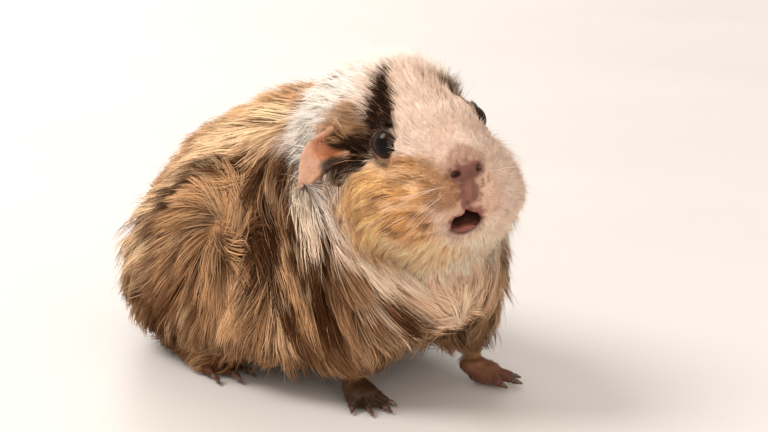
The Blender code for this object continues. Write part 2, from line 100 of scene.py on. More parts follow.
# Coat colours
WHITE = (0.96, 0.83, 0.75)
BLAZE = (0.69, 0.515, 0.42)
# white hair warmed to how it looks in shade, where light scatters among the hairs: painted shade
WHITE_IN_SHADE = (0.96, 0.74, 0.58)
PEACH = (0.74, 0.50, 0.375)
CREAM = (0.88, 0.61, 0.38)
GOLD = (0.90, 0.51, 0.21)
HONEY = (0.68, 0.38, 0.19)
ORANGE = (0.60, 0.27, 0.085)
TAN = (0.44, 0.225, 0.098)
UMBER = (0.31, 0.140, 0.056)
BROWN = (0.175, 0.074, 0.029)
DARK = (0.052, 0.019, 0.007)
BLACK = (0.018, 0.008, 0.004)
SILVER = (0.55, 0.35, 0.23)
# Bare skin colours
PINK = (0.20, 0.078, 0.060)
MAUVE = (0.120, 0.040, 0.030)
# painted shade inside the mouth's opening and the nostrils
MOUTH_AND_NOSTRIL_SHADE = (0.028, 0.007, 0.005)
LIP = (0.225, 0.078, 0.060)
EAR_SKIN = (0.60, 0.33, 0.22)
EAR_HOLLOW = (0.55, 0.21, 0.09)
# painted shade deep in the ear's hollow
EAR_DEPTH_SHADE = (0.022, 0.009, 0.005)
EAR_LOBE = (0.52, 0.29, 0.19)
TOES = {"fore_left": (0.105, 0.040, 0.028), "fore_right": (0.020, 0.010, 0.006),
        "hind": (0.070, 0.018, 0.010)}
# Colours of single places
BLOTCH = (1.00, 0.60, 0.33)
THROAT = (0.86, 0.60, 0.43)
NOSE_SIDE = (0.40, 0.19, 0.085)
FORE_CHEEK = (0.78, 0.42, 0.17)
# the lower cheek's pale gold, brightened as painted light thrown up from the floor
LOW_CHEEK_AND_FLOOR_LIGHT = (1.00, 0.64, 0.38)
# Eye and lid colours
PUPIL = (0.004, 0.003, 0.003)
IRIS = (0.022, 0.011, 0.006)
EYE_WALL = (0.012, 0.007, 0.005)
UPPER_LID = (0.006, 0.003, 0.002)
LOWER_LID = (0.040, 0.020, 0.014)
LOWER_RIM = (0.20, 0.110, 0.085)


# ---------------------------------------------------------------- small helpers

def unit(v):
    return v / np.maximum(np.linalg.norm(v, axis=-1, keepdims=True), 1e-12)


def size_of(v):
    """Length of each vector."""
    return np.linalg.norm(v, axis=1)


def ease(x, low, high):
    t = np.clip((x - low) / (high - low), 0, 1)
    return t * t * (3 - 2 * t)


def blob(p, centre, radii):
    """1 at the centre, falling softly to 0 at the radii."""
    q = (p - np.array(centre)) / np.array(radii)
    return np.clip(1 - (q * q).sum(-1), 0, 1) ** 1.5


def patch(p, centre, radii):
    """1 inside most of the radii, falling to 0 just outside."""
    q = np.sqrt((((p - np.array(centre)) / np.array(radii)) ** 2).sum(-1))
    return 1 - ease(q, 0.7, 1.2)


def mix(a, b, t):
    """From a to b by t. Where a or b is a colour or a direction, t may hold one number for each point."""
    a, b, t = np.asarray(a), np.asarray(b), np.asarray(t)
    if t.ndim == 1 and 3 in (a.shape[-1:] + b.shape[-1:]):
        t = t[:, None]
    return a * (1 - t) + b * t


LATTICE = np.random.default_rng(SEED).random((LATTICE_SIDE,) * 3)


def wander(p, size, shift=0.0):
    """Smooth random field from 0 to 1 with features of this size, at points p."""
    q = p / np.array(size, float) + np.array([7.31, 3.17, 5.53]) * (shift + 1)
    cell = np.floor(q).astype(int)
    f = q - cell
    f = f * f * (3 - 2 * f)
    total = np.zeros(len(p))
    for corner in np.ndindex(2, 2, 2):
        weight = np.ones(len(p))
        for axis in range(3):
            weight = weight * (f[:, axis] if corner[axis] else 1 - f[:, axis])
        at = (cell + corner) % LATTICE_SIDE
        total += weight * LATTICE[at[:, 0], at[:, 1], at[:, 2]]
    return ease(total, 0.12, 0.88)


def middle(node):
    low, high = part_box(node)
    return np.array((low + high) / 2)


def mirrored(q):
    """Head places with both sides laid over the animal's left."""
    return np.stack([np.abs(q[:, 0]), q[:, 1], q[:, 2]], 1)


def jitter(p, size, seeds):
    """Three smooth random fields side by side, each from -0.5 to 0.5."""
    return np.stack([wander(p, size, s) for s in seeds], 1) - 0.5


def points_of(mesh):
    co = np.zeros(len(mesh.vertices) * 3, np.float32)
    mesh.vertices.foreach_get("co", co)
    return co.reshape(-1, 3).astype(float)


def triangles_of(mesh):
    mesh.calc_loop_triangles()
    corners = np.zeros(len(mesh.loop_triangles) * 3, np.int32)
    mesh.loop_triangles.foreach_get("vertices", corners)
    return corners.reshape(-1, 3)


def set_points(mesh, points):
    mesh.vertices.foreach_set("co", np.asarray(points, np.float32).ravel())
    mesh.update()


def object_from(name, points, faces, smooth=True):
    mesh = bpy.data.meshes.new(name)
    mesh.from_pydata(np.asarray(points, float).tolist(), [], [[int(i) for i in face] for face in faces])
    if smooth:
        mesh.polygons.foreach_set("use_smooth", [True] * len(mesh.polygons))
    mesh.update()
    obj = bpy.data.objects.new(name, mesh)
    bpy.context.scene.collection.objects.link(obj)
    return obj


def give(mesh, name, values, kind="FLOAT", domain="POINT"):
    """Stores an attribute: FLOAT, FLOAT_VECTOR or FLOAT_COLOR."""
    attribute = mesh.attributes.get(name) or mesh.attributes.new(name, kind, domain)
    field = {"FLOAT": "value", "FLOAT_VECTOR": "vector", "FLOAT_COLOR": "color"}[kind]
    values = np.asarray(values, np.float32)
    if kind == "FLOAT_COLOR" and values.shape[-1] == 3:
        values = np.concatenate([values, np.ones((len(values), 1), np.float32)], axis=1)
    attribute.data.foreach_set(field, values.ravel())


def taken(mesh, name, width):
    field = {1: "value", 3: "vector", 4: "color"}[width]
    values = np.zeros(len(mesh.vertices) * width, np.float32)
    mesh.attributes[name].data.foreach_get(field, values)
    return values.reshape(-1, width).astype(float) if width > 1 else values.astype(float)


def evaluated_mesh(obj):
    """The object's mesh with its modifiers worked in."""
    graph = bpy.context.evaluated_depsgraph_get()
    return bpy.data.meshes.new_from_object(
        obj.evaluated_get(graph), preserve_all_data_layers=True, depsgraph=graph)


@contextlib.contextmanager
def opened(mesh):
    """The mesh as a bmesh to edit, written back at the end."""
    work = bmesh.new()
    work.from_mesh(mesh)
    work.verts.ensure_lookup_table()
    yield work
    work.to_mesh(mesh)
    work.free()


def drop_points(mesh, dropped):
    with opened(mesh) as work:
        bmesh.ops.delete(work, geom=[work.verts[i] for i in np.nonzero(dropped)[0]], context="VERTS")


def thin_out(obj, target, group=""):
    """Brings the object's mesh down to about this many triangles, fewest where the vertex group is."""
    thin = obj.modifiers.new("thin", "DECIMATE")
    thin.ratio = min(1.0, target / len(triangles_of(obj.data)))
    thin.vertex_group = group
    thin.use_collapse_triangulate = True
    obj.data = evaluated_mesh(obj)
    obj.modifiers.remove(thin)


def search_tree(points, faces):
    return BVHTree.FromPolygons(points.tolist(), faces.tolist())


# ---------------------------------------------------------------- the head's own frame

EYES = {"left": middle("eye_left"), "right": middle("eye_right")}
EYE_RADIUS = float((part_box("eye_right")[1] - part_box("eye_right")[0]).length) / 2 / math.sqrt(3)
NOSE_CENTRE = middle("nose")
NOSE_IN_HEAD = np.array([0.0, 4.6, -0.6]) * MM
EYES_IN_HEAD = np.array([14.8, 26.8, 9.8]) * MM


def head_axes():
    """Origin at the nose tip, and the head's left, back and up."""
    across = unit(EYES["left"] - EYES["right"])
    reach = (EYES["left"] + EYES["right"]) / 2 - NOSE_CENTRE
    along = unit(reach - across * (reach @ across))
    over = np.cross(across, along)
    rise = math.atan2(EYES_IN_HEAD[2] - NOSE_IN_HEAD[2], EYES_IN_HEAD[1] - NOSE_IN_HEAD[1])
    back = along * math.cos(rise) - over * math.sin(rise)
    up = along * math.sin(rise) + over * math.cos(rise)
    axes = np.stack([across, back, up])
    return NOSE_CENTRE - NOSE_IN_HEAD @ axes, axes


HEAD_ORIGIN, HEAD_AXES = head_axes()


def in_head(p):
    """Model points to head places, in mm."""
    return (p - HEAD_ORIGIN) @ HEAD_AXES.T / MM


def from_head(q):
    """Head places in mm to model points."""
    return HEAD_ORIGIN + np.asarray(q, float) * MM @ HEAD_AXES


# ---------------------------------------------------------------- skin

def joined_flesh():
    """(points, triangles, node index of each triangle) of merged copies of the flesh nodes."""
    points, faces, owner, start = [], [], [], 0
    for index, node in enumerate(FLESH):
        mesh = frame["nodes"][node].data
        co = points_of(mesh)
        _, first, merged = np.unique(np.round(co, 7), axis=0, return_index=True, return_inverse=True)
        triangles = merged.reshape(-1)[triangles_of(mesh)]
        points.append(co[first])
        faces.append(triangles + start)
        owner += [index] * len(triangles)
        start += len(first)
    return np.concatenate(points), np.concatenate(faces), np.array(owner)


class Shell:
    """A closed mesh as arrays, with smoothing along its edges."""

    def __init__(self, mesh):
        self.points = points_of(mesh)
        self.count = len(self.points)
        edges = np.zeros(len(mesh.edges) * 2, np.int32)
        mesh.edges.foreach_get("vertices", edges)
        self.edges = edges.reshape(-1, 2)
        self.triangles = triangles_of(mesh)
        self.degree = np.maximum(np.bincount(self.edges.ravel(), minlength=self.count), 1)

    def around(self, values):
        """Mean of each point's neighbours."""
        a, b = self.edges.T
        flat = values.reshape(self.count, -1)
        mean = np.stack([np.bincount(a, column[b], self.count) + np.bincount(b, column[a], self.count)
                         for column in flat.T], axis=1)
        return (mean / self.degree[:, None]).reshape(values.shape)

    def relaxed(self, values, turns, share=0.5):
        share = share[:, None] if np.ndim(share) and values.ndim > 1 else share
        for _ in range(turns):
            values = values + share * (self.around(values) - values)
        return values

    def normals(self):
        p, t = self.points, self.triangles
        face = np.cross(p[t[:, 1]] - p[t[:, 0]], p[t[:, 2]] - p[t[:, 0]])
        total = np.zeros_like(p)
        for axis in range(3):
            for corner in range(3):
                total[:, axis] += np.bincount(t[:, corner], face[:, axis], self.count)
        return unit(total)


def largest_part(mesh):
    """Drops all but the shell with most points."""
    shell = Shell(mesh)
    label = np.arange(shell.count)
    a, b = shell.edges.T
    while True:
        lowest = np.minimum(label[a], label[b])
        new = label.copy()
        np.minimum.at(new, a, lowest)
        np.minimum.at(new, b, lowest)
        new = new[new]
        if (new == label).all():
            break
        label = new
    keep = np.bincount(label).argmax()
    if (label != keep).any():
        drop_points(mesh, label != keep)


def eye_distance(q):
    """How far head places lie from the nearer eye's centre, in mm."""
    return np.minimum(*[size_of(q - in_head(EYES[side])) for side in EYES])


def head_depth(q):
    """Depth of the head's coat in mm at head places q."""
    x, y, z = q.T
    depth = 0.5 + 2.6 * ease(y, 3, 22) + 1.6 * ease(y, 20, 45) + 3.0 * ease(y, 45, 70)
    depth += 2.4 * ease(np.abs(x), 12, 24) * ease(-z, 0, 12) * ease(y, 12, 26)
    depth += 1.6 * ease(-z, 16, 30)
    near_eye = eye_distance(q)
    return np.minimum(depth, 0.35 + 3.2 * ease(near_eye, 6.5, 15) + 20 * ease(near_eye, 13, 20))


def slanted(q):
    """Head places with the muzzle's middle line made straight. Below the nose it leans to the right."""
    q = q.copy()
    q[:, 0] += 0.15 * np.maximum(-q[:, 2], 0) * (1 - ease(q[:, 1], 10, 22))
    return q


def press(q, centre, radii, push):
    """Shift in mm at head places q: a soft push in an ellipsoid, on both sides if it is off the middle."""
    centre, push = np.array(centre, float), np.array(push, float)
    shift = blob(q, centre, radii)[:, None] * push
    if centre[0]:
        shift = shift + blob(q, centre * (-1, 1, 1), radii)[:, None] * push * (-1, 1, 1)
    return shift


# Soft pushes that model the face, in mm in the head's frame: centre, radii, push
FACE = [
    ((5.6, 3.4, -8.0), (5.6, 6.0, 6.4), (0.9, -0.9, -0.1)),      # whisker pads swell
    ((4.4, 0.6, -1.1), (1.9, 2.6, 1.15), (-0.9, 2.9, 0.3)),      # nostrils
    ((5.0, 0.4, 1.5), (2.6, 3.0, 1.5), (0.5, -0.8, 0.3)),        # wings over the nostrils
    ((0.0, -0.6, -4.6), (0.75, 4.0, 4.0), (0.0, 0.9, 0.0)),      # groove under the nose
    ((0.0, 0.8, -10.6), (0.8, 4.0, 5.0), (0.0, 1.2, 0.0)),       # groove down to the lip
    ((0.0, 2.0, -13.0), (1.4, 4.5, 2.6), (0.0, 1.3, 0.9)),       # cleft of the upper lip
    ((2.6, 2.6, -13.6), (3.2, 5.0, 2.4), (0.3, -0.9, -0.9)),     # upper lip, in two halves
    ((0.0, 7.0, -16.6), (4.2, 7.0, 2.2), (0.0, 3.2, 0.4)),       # the opening
    ((-0.8, 4.2, -21.6), (4.6, 5.0, 2.6), (0.0, 0.5, 0.3)),      # lower lip
    ((0.0, 7.5, -26.0), (6.0, 6.0, 4.0), (0.0, -0.5, -0.6)),     # chin
    ((14.5, 24.5, 15.0), (7.0, 7.0, 4.0), (0.5, -0.5, 0.9)),     # brow
]


# The right ear is folded: a rim curled forward over its hollow, a notch, and a lobe hanging below it
EAR_FOLDS = [
    ((-30.0, 53.0, 16.0), (8.5, 7.0, 3.8), (0.2, -3.0, -0.5)),
    ((-34.0, 54.0, 6.8), (3.0, 7.0, 2.6), (2.6, -0.6, 0.0)),
    ((-27.0, 52.0, 10.0), (5.5, 7.0, 4.6), (0.0, 2.6, 0.0)),
    ((-38.0, 54.5, 2.5), (6.0, 7.0, 5.0), (-0.4, -1.8, -1.0)),
    ((-30.5, 51.0, 2.5), (5.5, 6.0, 2.6), (0.0, -1.6, 0.8)),
]


MUZZLE_NODES = ["nose", "lower_lip"]
# Attributes that say how far a point belongs to some nodes
SHARES = {"ear": EARS, "foot": FEET, "leg": ["foreleg_left", "foreleg_right"],
          "face": ["head"] + MUZZLE_NODES + EARS, "lip": ["lower_lip"]}


def make_skin():
    """One shell round all the flesh, sunk by the coat's depth. Its detail is 1 where fine shape is kept."""
    points, faces, owner = joined_flesh()
    source = object_from("flesh", points, faces)
    remesh = source.modifiers.new("shell", "REMESH")
    remesh.mode = "VOXEL"
    remesh.voxel_size = VOXEL
    mesh = evaluated_mesh(source)
    bpy.data.objects.remove(source)
    largest_part(mesh)
    tree = search_tree(points, faces)
    shell = Shell(mesh)
    node = owner[np.array([tree.find_nearest(p)[2] for p in shell.points.tolist()])]

    def on_nodes(names):
        return np.isin(node, [FLESH.index(name) for name in names]).astype(float)

    q = in_head(shell.points)
    depth = np.zeros(shell.count)
    for index, name in enumerate(FLESH):
        here = node == index
        depth[here] = head_depth(q[here]) if name == "head" else DEPTHS[name.split("_")[0]]
    detail = on_nodes(FEET + EARS + MUZZLE_NODES)
    detail = np.maximum(detail, 1 - ease(size_of((q - MUZZLE) / (1.1, 1, 1.25)), 9, 14))
    detail = np.maximum(detail, 1 - ease(eye_distance(q), 9, 13))
    detail = shell.relaxed(detail, 6)
    rough = depth.copy()
    depth = shell.relaxed(depth, 45)
    depth = np.where(rough < 1.0, np.minimum(depth, rough + 1.5 * (1 - detail)), depth)
    depth = shell.relaxed(depth, 4)
    softness = 0.5 * (1 - 0.93 * detail)
    shell.points = shell.relaxed(shell.points, 8, softness)
    for _ in range(SINK_ROUNDS):
        shell.points = shell.points - shell.normals() * (depth / SINK_ROUNDS)[:, None] * MM
        shell.points = shell.relaxed(shell.points, 2, softness)
    set_points(mesh, shell.points)
    give(mesh, "detail", detail)
    for name, members in SHARES.items():
        give(mesh, name, shell.relaxed(on_nodes(members), 5))
    return mesh


def refine_muzzle(mesh):
    """Finer faces where the nose and mouth are modelled."""
    with opened(mesh) as work:
        q = in_head(np.array([v.co for v in work.verts]))
        close = size_of((q - MUZZLE_FRONT) / (0.8, 1.1, 1.25)) < 12.5
        edges = [e for e in work.edges if close[e.verts[0].index] and close[e.verts[1].index]]
        bmesh.ops.subdivide_edges(work, edges=edges, cuts=1, use_grid_fill=True)
        bmesh.ops.triangulate(work, faces=work.faces[:])


def model_face(mesh):
    """Muzzle, mouth, brows and the right ear's folds, pushed into the skin."""
    shell = Shell(mesh)
    q = in_head(shell.points)
    near = size_of(q - MUZZLE) < 60
    shift = np.zeros_like(q)
    for centre, radii, push in FACE:
        shift[near] += press(slanted(q[near]), centre, radii, push)
    on_ear = taken(mesh, "ear", 1)[:, None]
    for centre, radii, push in EAR_FOLDS:
        shift += blob(q, centre, radii)[:, None] * np.array(push) * on_ear
    # fine folds across the pad and beside the nose
    pad = blob(q, (0, 1.5, 1.0), (7.0, 6.0, 5.0))
    shift[:, 1] += pad * 0.10 * np.sin(q[:, 2] * 4.2 + np.abs(q[:, 0]) * 0.8)
    shell.points = shell.points + shift * MM @ HEAD_AXES
    behind_ear = patch(mirrored(q), (29, 67, 8), (14, 12, 14)) * (1 - on_ear[:, 0])
    shell.points = shell.relaxed(shell.points, 40, 0.5 * behind_ear)
    muzzle = (1 - ease(size_of(q - MUZZLE), 12, 18)) * 0.35
    shell.points = shell.relaxed(shell.points, 2, muzzle)
    set_points(mesh, shell.points)


HALF_CLAW = {"fore": 2.1, "hind": 3.0}  # mm
HIND_BALL = 14  # mm from the hind foot's front to the place its toes spread from


def model_feet(mesh):
    """Toes that swell over the roots of their claws, with clefts between them."""
    shell = Shell(mesh)
    p = shell.points / MM
    shift = np.zeros_like(p)
    for foot in FEET:
        claws = [np.mean(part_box(name), axis=0) / MM
                 for name in sorted(frame["nodes"]) if name.startswith(foot + "_claw")]
        low, high = np.array(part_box(foot)) / MM
        ball = (low + high) / 2
        if foot.startswith("hind"):
            ball[1] = low[1] + HIND_BALL
        out = [unit((claw - ball) * (1, 1, 0)) for claw in claws]
        roots = [claw - HALF_CLAW[foot[:4]] * way for claw, way in zip(claws, out)]
        for root, way in zip(roots, out):
            shift += blob(p, root - 0.9 * way, (3.0, 3.0, 3.6))[:, None] * (2.0 * way + (0, 0, 0.35))
            shift += blob(p, root - 3.2 * way + (0, 0, 1.5), (2.6, 2.6, 2.6))[:, None] * (0, 0, 0.7)
        for (one, way), (two, other) in zip(zip(roots, out), zip(roots[1:], out[1:])):
            between = (one + two) / 2
            along = unit(way + other)
            shift += blob(p, between, (2.6, 2.6, 6.0))[:, None] * (-2.8 * along)
            inner = blob(p, between - 3.0 * along + (0, 0, 1.5), (2.4, 2.4, 3.0))
            shift += inner[:, None] * (-1.2 * along + (0, 0, -0.9))
    shift *= taken(mesh, "foot", 1)[:, None]
    shell.points = shell.points + shift * MM
    shell.points[:, 2] = np.maximum(shell.points[:, 2], 0.3 * MM)
    set_points(mesh, shell.points)


def thin_skin(mesh):
    """Fewer faces on the body, where the coat covers it, and all of them kept on face, feet and ears."""
    obj = bpy.data.objects.new("skin", mesh)
    bpy.context.scene.collection.objects.link(obj)
    plain = obj.vertex_groups.new(name="plain")
    detail = taken(mesh, "detail", 1)
    for low, high, weight in ((-1, 0.05, 1.0), (0.05, 0.4, 0.5)):
        plain.add([int(i) for i in np.nonzero((detail > low) & (detail <= high))[0]], weight, "REPLACE")
    thin_out(obj, SKIN_TRIANGLES, "plain")
    obj.vertex_groups.clear()
    obj.data.polygons.foreach_set("use_smooth", [True] * len(obj.data.polygons))
    obj.data.update()
    obj.data.name = "skin"
    return obj


# ---------------------------------------------------------------- eyes and lids

# The way each eye looks, in the head's frame, and its opening's half width and half height as angles
GAZE = {"left": (0.82, -0.55, 0.13), "right": (-0.76, -0.63, 0.13)}
OPENING = {"left": (0.84, 0.86), "right": (0.90, 0.94)}
# A lid's steps out from the opening's edge: added angle, distance from the eye's centre in eye radii
LID_PROFILE = [(-0.03, 1.008), (-0.02, 1.035), (0.01, 1.060), (0.06, 1.080), (0.15, 1.090), (0.30, 1.090),
               (0.50, 1.06), (0.74, 0.97), (0.95, 0.86), (0.60, 0.86), (0.25, 0.90)]


def eye_frame(side):
    """Centre, and directions in the model: out along the gaze, forward along the opening, and up."""
    out = unit(np.array(GAZE[side]) @ HEAD_AXES)
    up = np.array([0, -0.10, 1.0]) @ HEAD_AXES
    up = unit(up - out * (up @ out))
    return EYES[side], out, unit(np.cross(up, out)) * (-1 if side == "left" else 1), up


def on_eye(directions, angle, turn, reach):
    """The place this far from the eye's centre, this angle off its gaze, and this far round it."""
    centre, out, fore, up = directions
    sideways = math.cos(turn) * fore + math.sin(turn) * up
    return centre + reach * (math.cos(angle) * out + math.sin(angle) * sideways)


def ringed(name, rings, closed=False):
    """A mesh through rings of points of one length, capped at both ends or closed round."""
    rings = np.array(rings)
    count, around = rings.shape[:2]
    faces = []
    for i in range(count if closed else count - 1):
        for j in range(around):
            a, b = i * around, ((i + 1) % count) * around
            k = (j + 1) % around
            faces.append((a + j, a + k, b + k, b + j))
    if not closed:
        faces += [tuple(range(around))[::-1], tuple((count - 1) * around + j for j in range(around))]
    obj = object_from(name, rings.reshape(-1, 3), faces)
    with opened(obj.data) as work:
        bmesh.ops.recalc_face_normals(work, faces=work.faces[:])
    return obj


def make_eye(side):
    """A ball with a raised cornea, its dark iris and pupil marked by the angle from the gaze."""
    directions = eye_frame(side)
    angles = np.concatenate([[0.012], np.linspace(0.07, 1.1, 20), np.linspace(1.25, 3.12, 14)])
    turns = np.linspace(0, 2 * math.pi, 64, endpoint=False)
    rings, tone = [], []
    for angle in angles:
        radius = EYE_RADIUS * (1.0 + 0.045 * math.exp(-(angle / 0.62) ** 2))
        rings.append([on_eye(directions, angle, turn, radius) for turn in turns])
        iris = ease(angle, 0.42, 0.60) * (1 - ease(angle, 0.95, 1.15))
        colour = mix(mix(PUPIL, IRIS, iris), EYE_WALL, ease(angle, 1.0, 1.3))
        tone += [colour] * len(turns)
    obj = ringed("eyeball_" + side, rings)
    give(obj.data, "tone", np.array(tone), "FLOAT_COLOR")
    obj.data.materials.append(EYE)
    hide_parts("eye_" + side)
    return obj


def make_lids(side):
    """A soft rim round the eye's opening: dark above and behind, greyish pink below."""
    directions = eye_frame(side)
    wide, tall = OPENING[side]
    turns = np.linspace(0, 2 * math.pi, 96, endpoint=False)
    rings, tone, naked = [], [], []
    for step, distance in LID_PROFILE:
        ring = []
        for t in turns:
            opening = 1 / math.sqrt((math.cos(t) / wide) ** 2 + (math.sin(t) / tall) ** 2)
            crease = 0.012 * math.sin(3 * t + 1) * (1 if step > 0.05 else 0.3)
            ring.append(on_eye(directions, opening + step, t, EYE_RADIUS * (distance + crease)))
            below = ease(-math.sin(t + 0.25), 0.45, 0.95)
            rim = 1 - ease(step, 0.06, 0.3)
            tone.append(mix(UPPER_LID, mix(LOWER_LID, LOWER_RIM, rim), below))
            naked.append(0.8 * (1 - ease(step, 0.02, 0.09 + 0.12 * below)))
        rings.append(ring)
    obj = ringed("lids_" + side, rings, closed=True)
    give(obj.data, "tone", np.array(tone), "FLOAT_COLOR")
    give(obj.data, "bare", np.array(naked))
    for name in ("face", "lid"):
        give(obj.data, name, np.ones(len(tone)))
    for name in ("ear", "foot", "leg", "detail", "lip"):
        give(obj.data, name, np.zeros(len(tone)))
    return obj


# ---------------------------------------------------------------- the skin is put together

def joined(main, *others):
    """main with the others' meshes added to its own."""
    both = [main, *others]
    with bpy.context.temp_override(active_object=main, object=main, selected_objects=both,
                                   selected_editable_objects=both):
        bpy.ops.object.join()
    return main


skin_mesh = make_skin()
refine_muzzle(skin_mesh)
model_face(skin_mesh)
model_feet(skin_mesh)
skin = thin_skin(skin_mesh)
joined(skin, *[make_lids(side) for side in EYES])
skin_shell = Shell(skin.data)
skin_up = unit(skin_shell.relaxed(skin_shell.normals(), 3))
soft_up = unit(skin_shell.relaxed(skin_up, 30))
skin_tree = search_tree(skin_shell.points, skin_shell.triangles)
print("skin", len(skin_shell.triangles), "triangles")


# ---------------------------------------------------------------- lie of the coat

# Whorls on the body, in mm: centre, reach, and how far the hair turns as it runs out from the centre
WHORLS = [
    ((-50, 7, 58), 21, 1.1), ((50, 12, 56), 21, -1.1), ((-48, 66, 60), 17, 0.5), ((48, 64, 60), 17, -0.5),
    ((-20, 96, 66), 15, 0.4), ((20, 96, 66), 15, -0.4), ((-15, 26, 106), 12, 0.4), ((17, 32, 106), 12, -0.4),
]
# Where hair of the rump runs together and stands out, in mm
RUMP_TUFTS = [(-60, 44, 44), (60, 46, 44)]
# Ridges of standing hair on the right flank, in mm: the upright one, and the broad one on the back
UPRIGHT_CREST = [(-44, -6, 81), (-49, -13, 65), (-51, -17, 54), (-51, -25, 38), (-49, -30, 25)]
BACK_CREST = [(-30, -8, 99), (-37, 3, 91), (-42, 20, 83), (-46, 34, 71), (-52, 44, 57), (-59, 46, 43)]
# The white tuft below the ear
SHOULDER_TUFT = [(-39, -32, 79), (-43, -36, 71), (-44, -40, 62)]


def from_line(p, line):
    """Distance in mm from each point to a bent line, seen mostly from the side."""
    flat = np.array([0.04, 1, 1])
    nearest = np.full(len(p), np.inf)
    for a, b in zip(np.array(line, float), np.array(line[1:], float)):
        a, b, q = a * flat, b * flat, p * flat
        share = np.clip(((q - a) @ (b - a)) / ((b - a) @ (b - a)), 0, 1)
        nearest = np.minimum(nearest, size_of(q - a - share[:, None] * (b - a)))
    return nearest


def to_right(p):
    """Points of the left flank moved over to the right, so that it is marked alike but not the same."""
    return np.where(p[:, :1] > 0, p * (-1, 1, 1) + (0, -6, 3), p)


def parting(p):
    """How far behind the flank's parting a point lies, in mm."""
    return p[:, 1] + 6 + (81 - p[:, 2]) * 0.44


def shoulder_ridge(p):
    """How far ahead of the shoulder's pale ridge a point lies, in mm."""
    return -35 - (78 - p[:, 2]) * 0.55 - p[:, 1]


def body_lie(p, up):
    """Heading of the body's hair at points p in mm."""
    side = np.tanh(p[:, 0] / 14)
    flat = 1 - ease(np.abs(up[:, 2]), 0.45, 0.85)
    behind = ease(parting(p), -4, 4)
    ahead = ease(shoulder_ridge(p), -3, 5)
    low = ease(-p[:, 2], -60, -20)
    back = np.stack([side * 0.25, 0.85 - 0.35 * low, -0.25 - 0.55 * flat], 1)
    none = np.zeros(len(p))
    fall = np.stack([side * 0.05, none - 0.42, none - 0.90], 1)
    forth = np.stack([-side * 0.25, none - 0.80, none - 0.62], 1)
    on_top = 1 - np.maximum(flat, ease(-up[:, 2], 0.3, 0.6))
    heading = unit(mix(mix(fall, forth, ahead), back, np.maximum(behind, on_top)))
    for centre, reach, swirl in WHORLS:
        away = p - centre
        distance = size_of(away * (0.4 if abs(centre[0]) > 40 else 1.0, 1, 1))
        turn = np.cross(up, unit(away)) * swirl
        share = np.exp(-(distance / reach) ** 2)
        heading = heading * (1 - share)[:, None] + (unit(away) + turn) * (share * 1.1)[:, None]
    for tuft in RUMP_TUFTS:
        towards = np.array(tuft) - p
        share = 0.8 * np.exp(-(size_of(towards) / 15) ** 2)
        heading = heading * (1 - share)[:, None] + unit(towards) * share[:, None]
    return heading


def head_lie(q):
    """Heading of the head's hair at head places q in mm, in the head's frame."""
    x, y, z = q.T
    none = np.zeros(len(q))
    away = unit(q + (0, 9, 5))
    drop = ease(np.abs(x), 10, 22) * ease(y, 14, 34) * (1 - ease(z, -4, 10))
    heading = away + np.stack([none, none, -0.75 * drop], 1)
    crown = ease(y, 26, 50) * ease(z, 14, 24)
    heading = heading + np.stack([x * 0.012, none + 0.4, none - 0.2], 1) * crown[:, None]
    behind = ease(y - 40 - 0.4 * (z + 2), -3, 4) * (1 - ease(z, -2, 6)) * ease(np.abs(x), 10, 20)
    heading = mix(heading, np.stack([-0.35 * np.sign(x), none - 0.75, none - 0.65], 1), 0.95 * behind)
    for side in EYES:
        off = q - in_head(EYES[side])
        distance = size_of(off)
        heading = heading + unit(off) * (1.3 * np.exp(-((distance - 5) / 5.0) ** 2))[:, None]
    lips = q - np.array([0.0, 5.0, -17.6])
    heading = heading + unit(lips) * (1.2 * np.exp(-(size_of(lips) / 8) ** 2))[:, None]
    return unit(heading)


def along_skin(heading, up):
    """The directions laid flat on a skin that faces up."""
    return unit(heading - up * (heading * up).sum(1, keepdims=True))


def lie(points, up, face):
    """Heading of the hair along the skin, from the head's flow and the body's."""
    head = head_lie(in_head(points)) @ HEAD_AXES
    heading = mix(body_lie(points / MM, up), head, ease(face, 0.25, 0.75))
    return along_skin(heading, up)


# ---------------------------------------------------------------- markings, shared by skin and coat

# Body patches, in mm: centre, radii, colour, strength
BODY_PATCHES = [
    ((-34, -2, 92), (20, 10, 12), CREAM, 0.85), ((-42, 20, 60), (20, 13, 9), TAN, 0.5),
    ((-44, 2, 57), (20, 7.5, 4.5), DARK, 0.85), ((-46, -9, 32), (20, 9, 12), BLOTCH, 0.96),
    ((-46, -15, 46), (20, 7, 7), DARK, 0.97), ((-47, -23, 60), (20, 5, 13), DARK, 0.85),
    ((-43, -27, 80), (20, 6, 8), DARK, 0.8), ((-52, 44, 43), (20, 8, 9), CREAM, 0.8),
    ((-40, -46, 46), (20, 7, 12), DARK, 0.75), ((-42, -36, 62), (20, 5, 9), DARK, 0.7),
    ((-48, 30, 26), (20, 12, 13), BROWN, 0.75), ((-36, -16, 88), (20, 7, 9), BROWN, 0.8),
    ((-36, -24, 84), (20, 9, 6), DARK, 0.6), ((40, 10, 74), (18, 15, 7), DARK, 0.7),
    ((44, -8, 40), (18, 10, 14), TAN, 0.7), ((38, -30, 60), (18, 8, 16), TAN, 0.6),
    ((8, 30, 98), (20, 16, 12), CREAM, 0.6), ((-12, 70, 88), (18, 12, 12), BROWN, 0.75),
    ((20, 84, 72), (16, 14, 12), GOLD, 0.5), ((0, 94, 48), (24, 12, 14), BROWN, 0.7),
    ((44, 52, 44), (18, 14, 14), BROWN, 0.7),
]
# The same on the chest, over its pale hair; the last, dark one beside the left foreleg is painted shadow
CHEST_PATCHES_AND_SHADOW = [
    ((-4, -70, 54), (19, 20, 22), THROAT, 0.92), ((-12, -70, 36), (8, 16, 16), THROAT, 0.9),
    ((-27, -62, 42), (9, 14, 12), BROWN, 0.85), ((-21, -67, 36), (9, 11, 10), DARK, 0.97),
    # painted shadow of the left foreleg on the chest
    ((16, -60, 24), (12, 14, 15), DARK, 0.75),
]
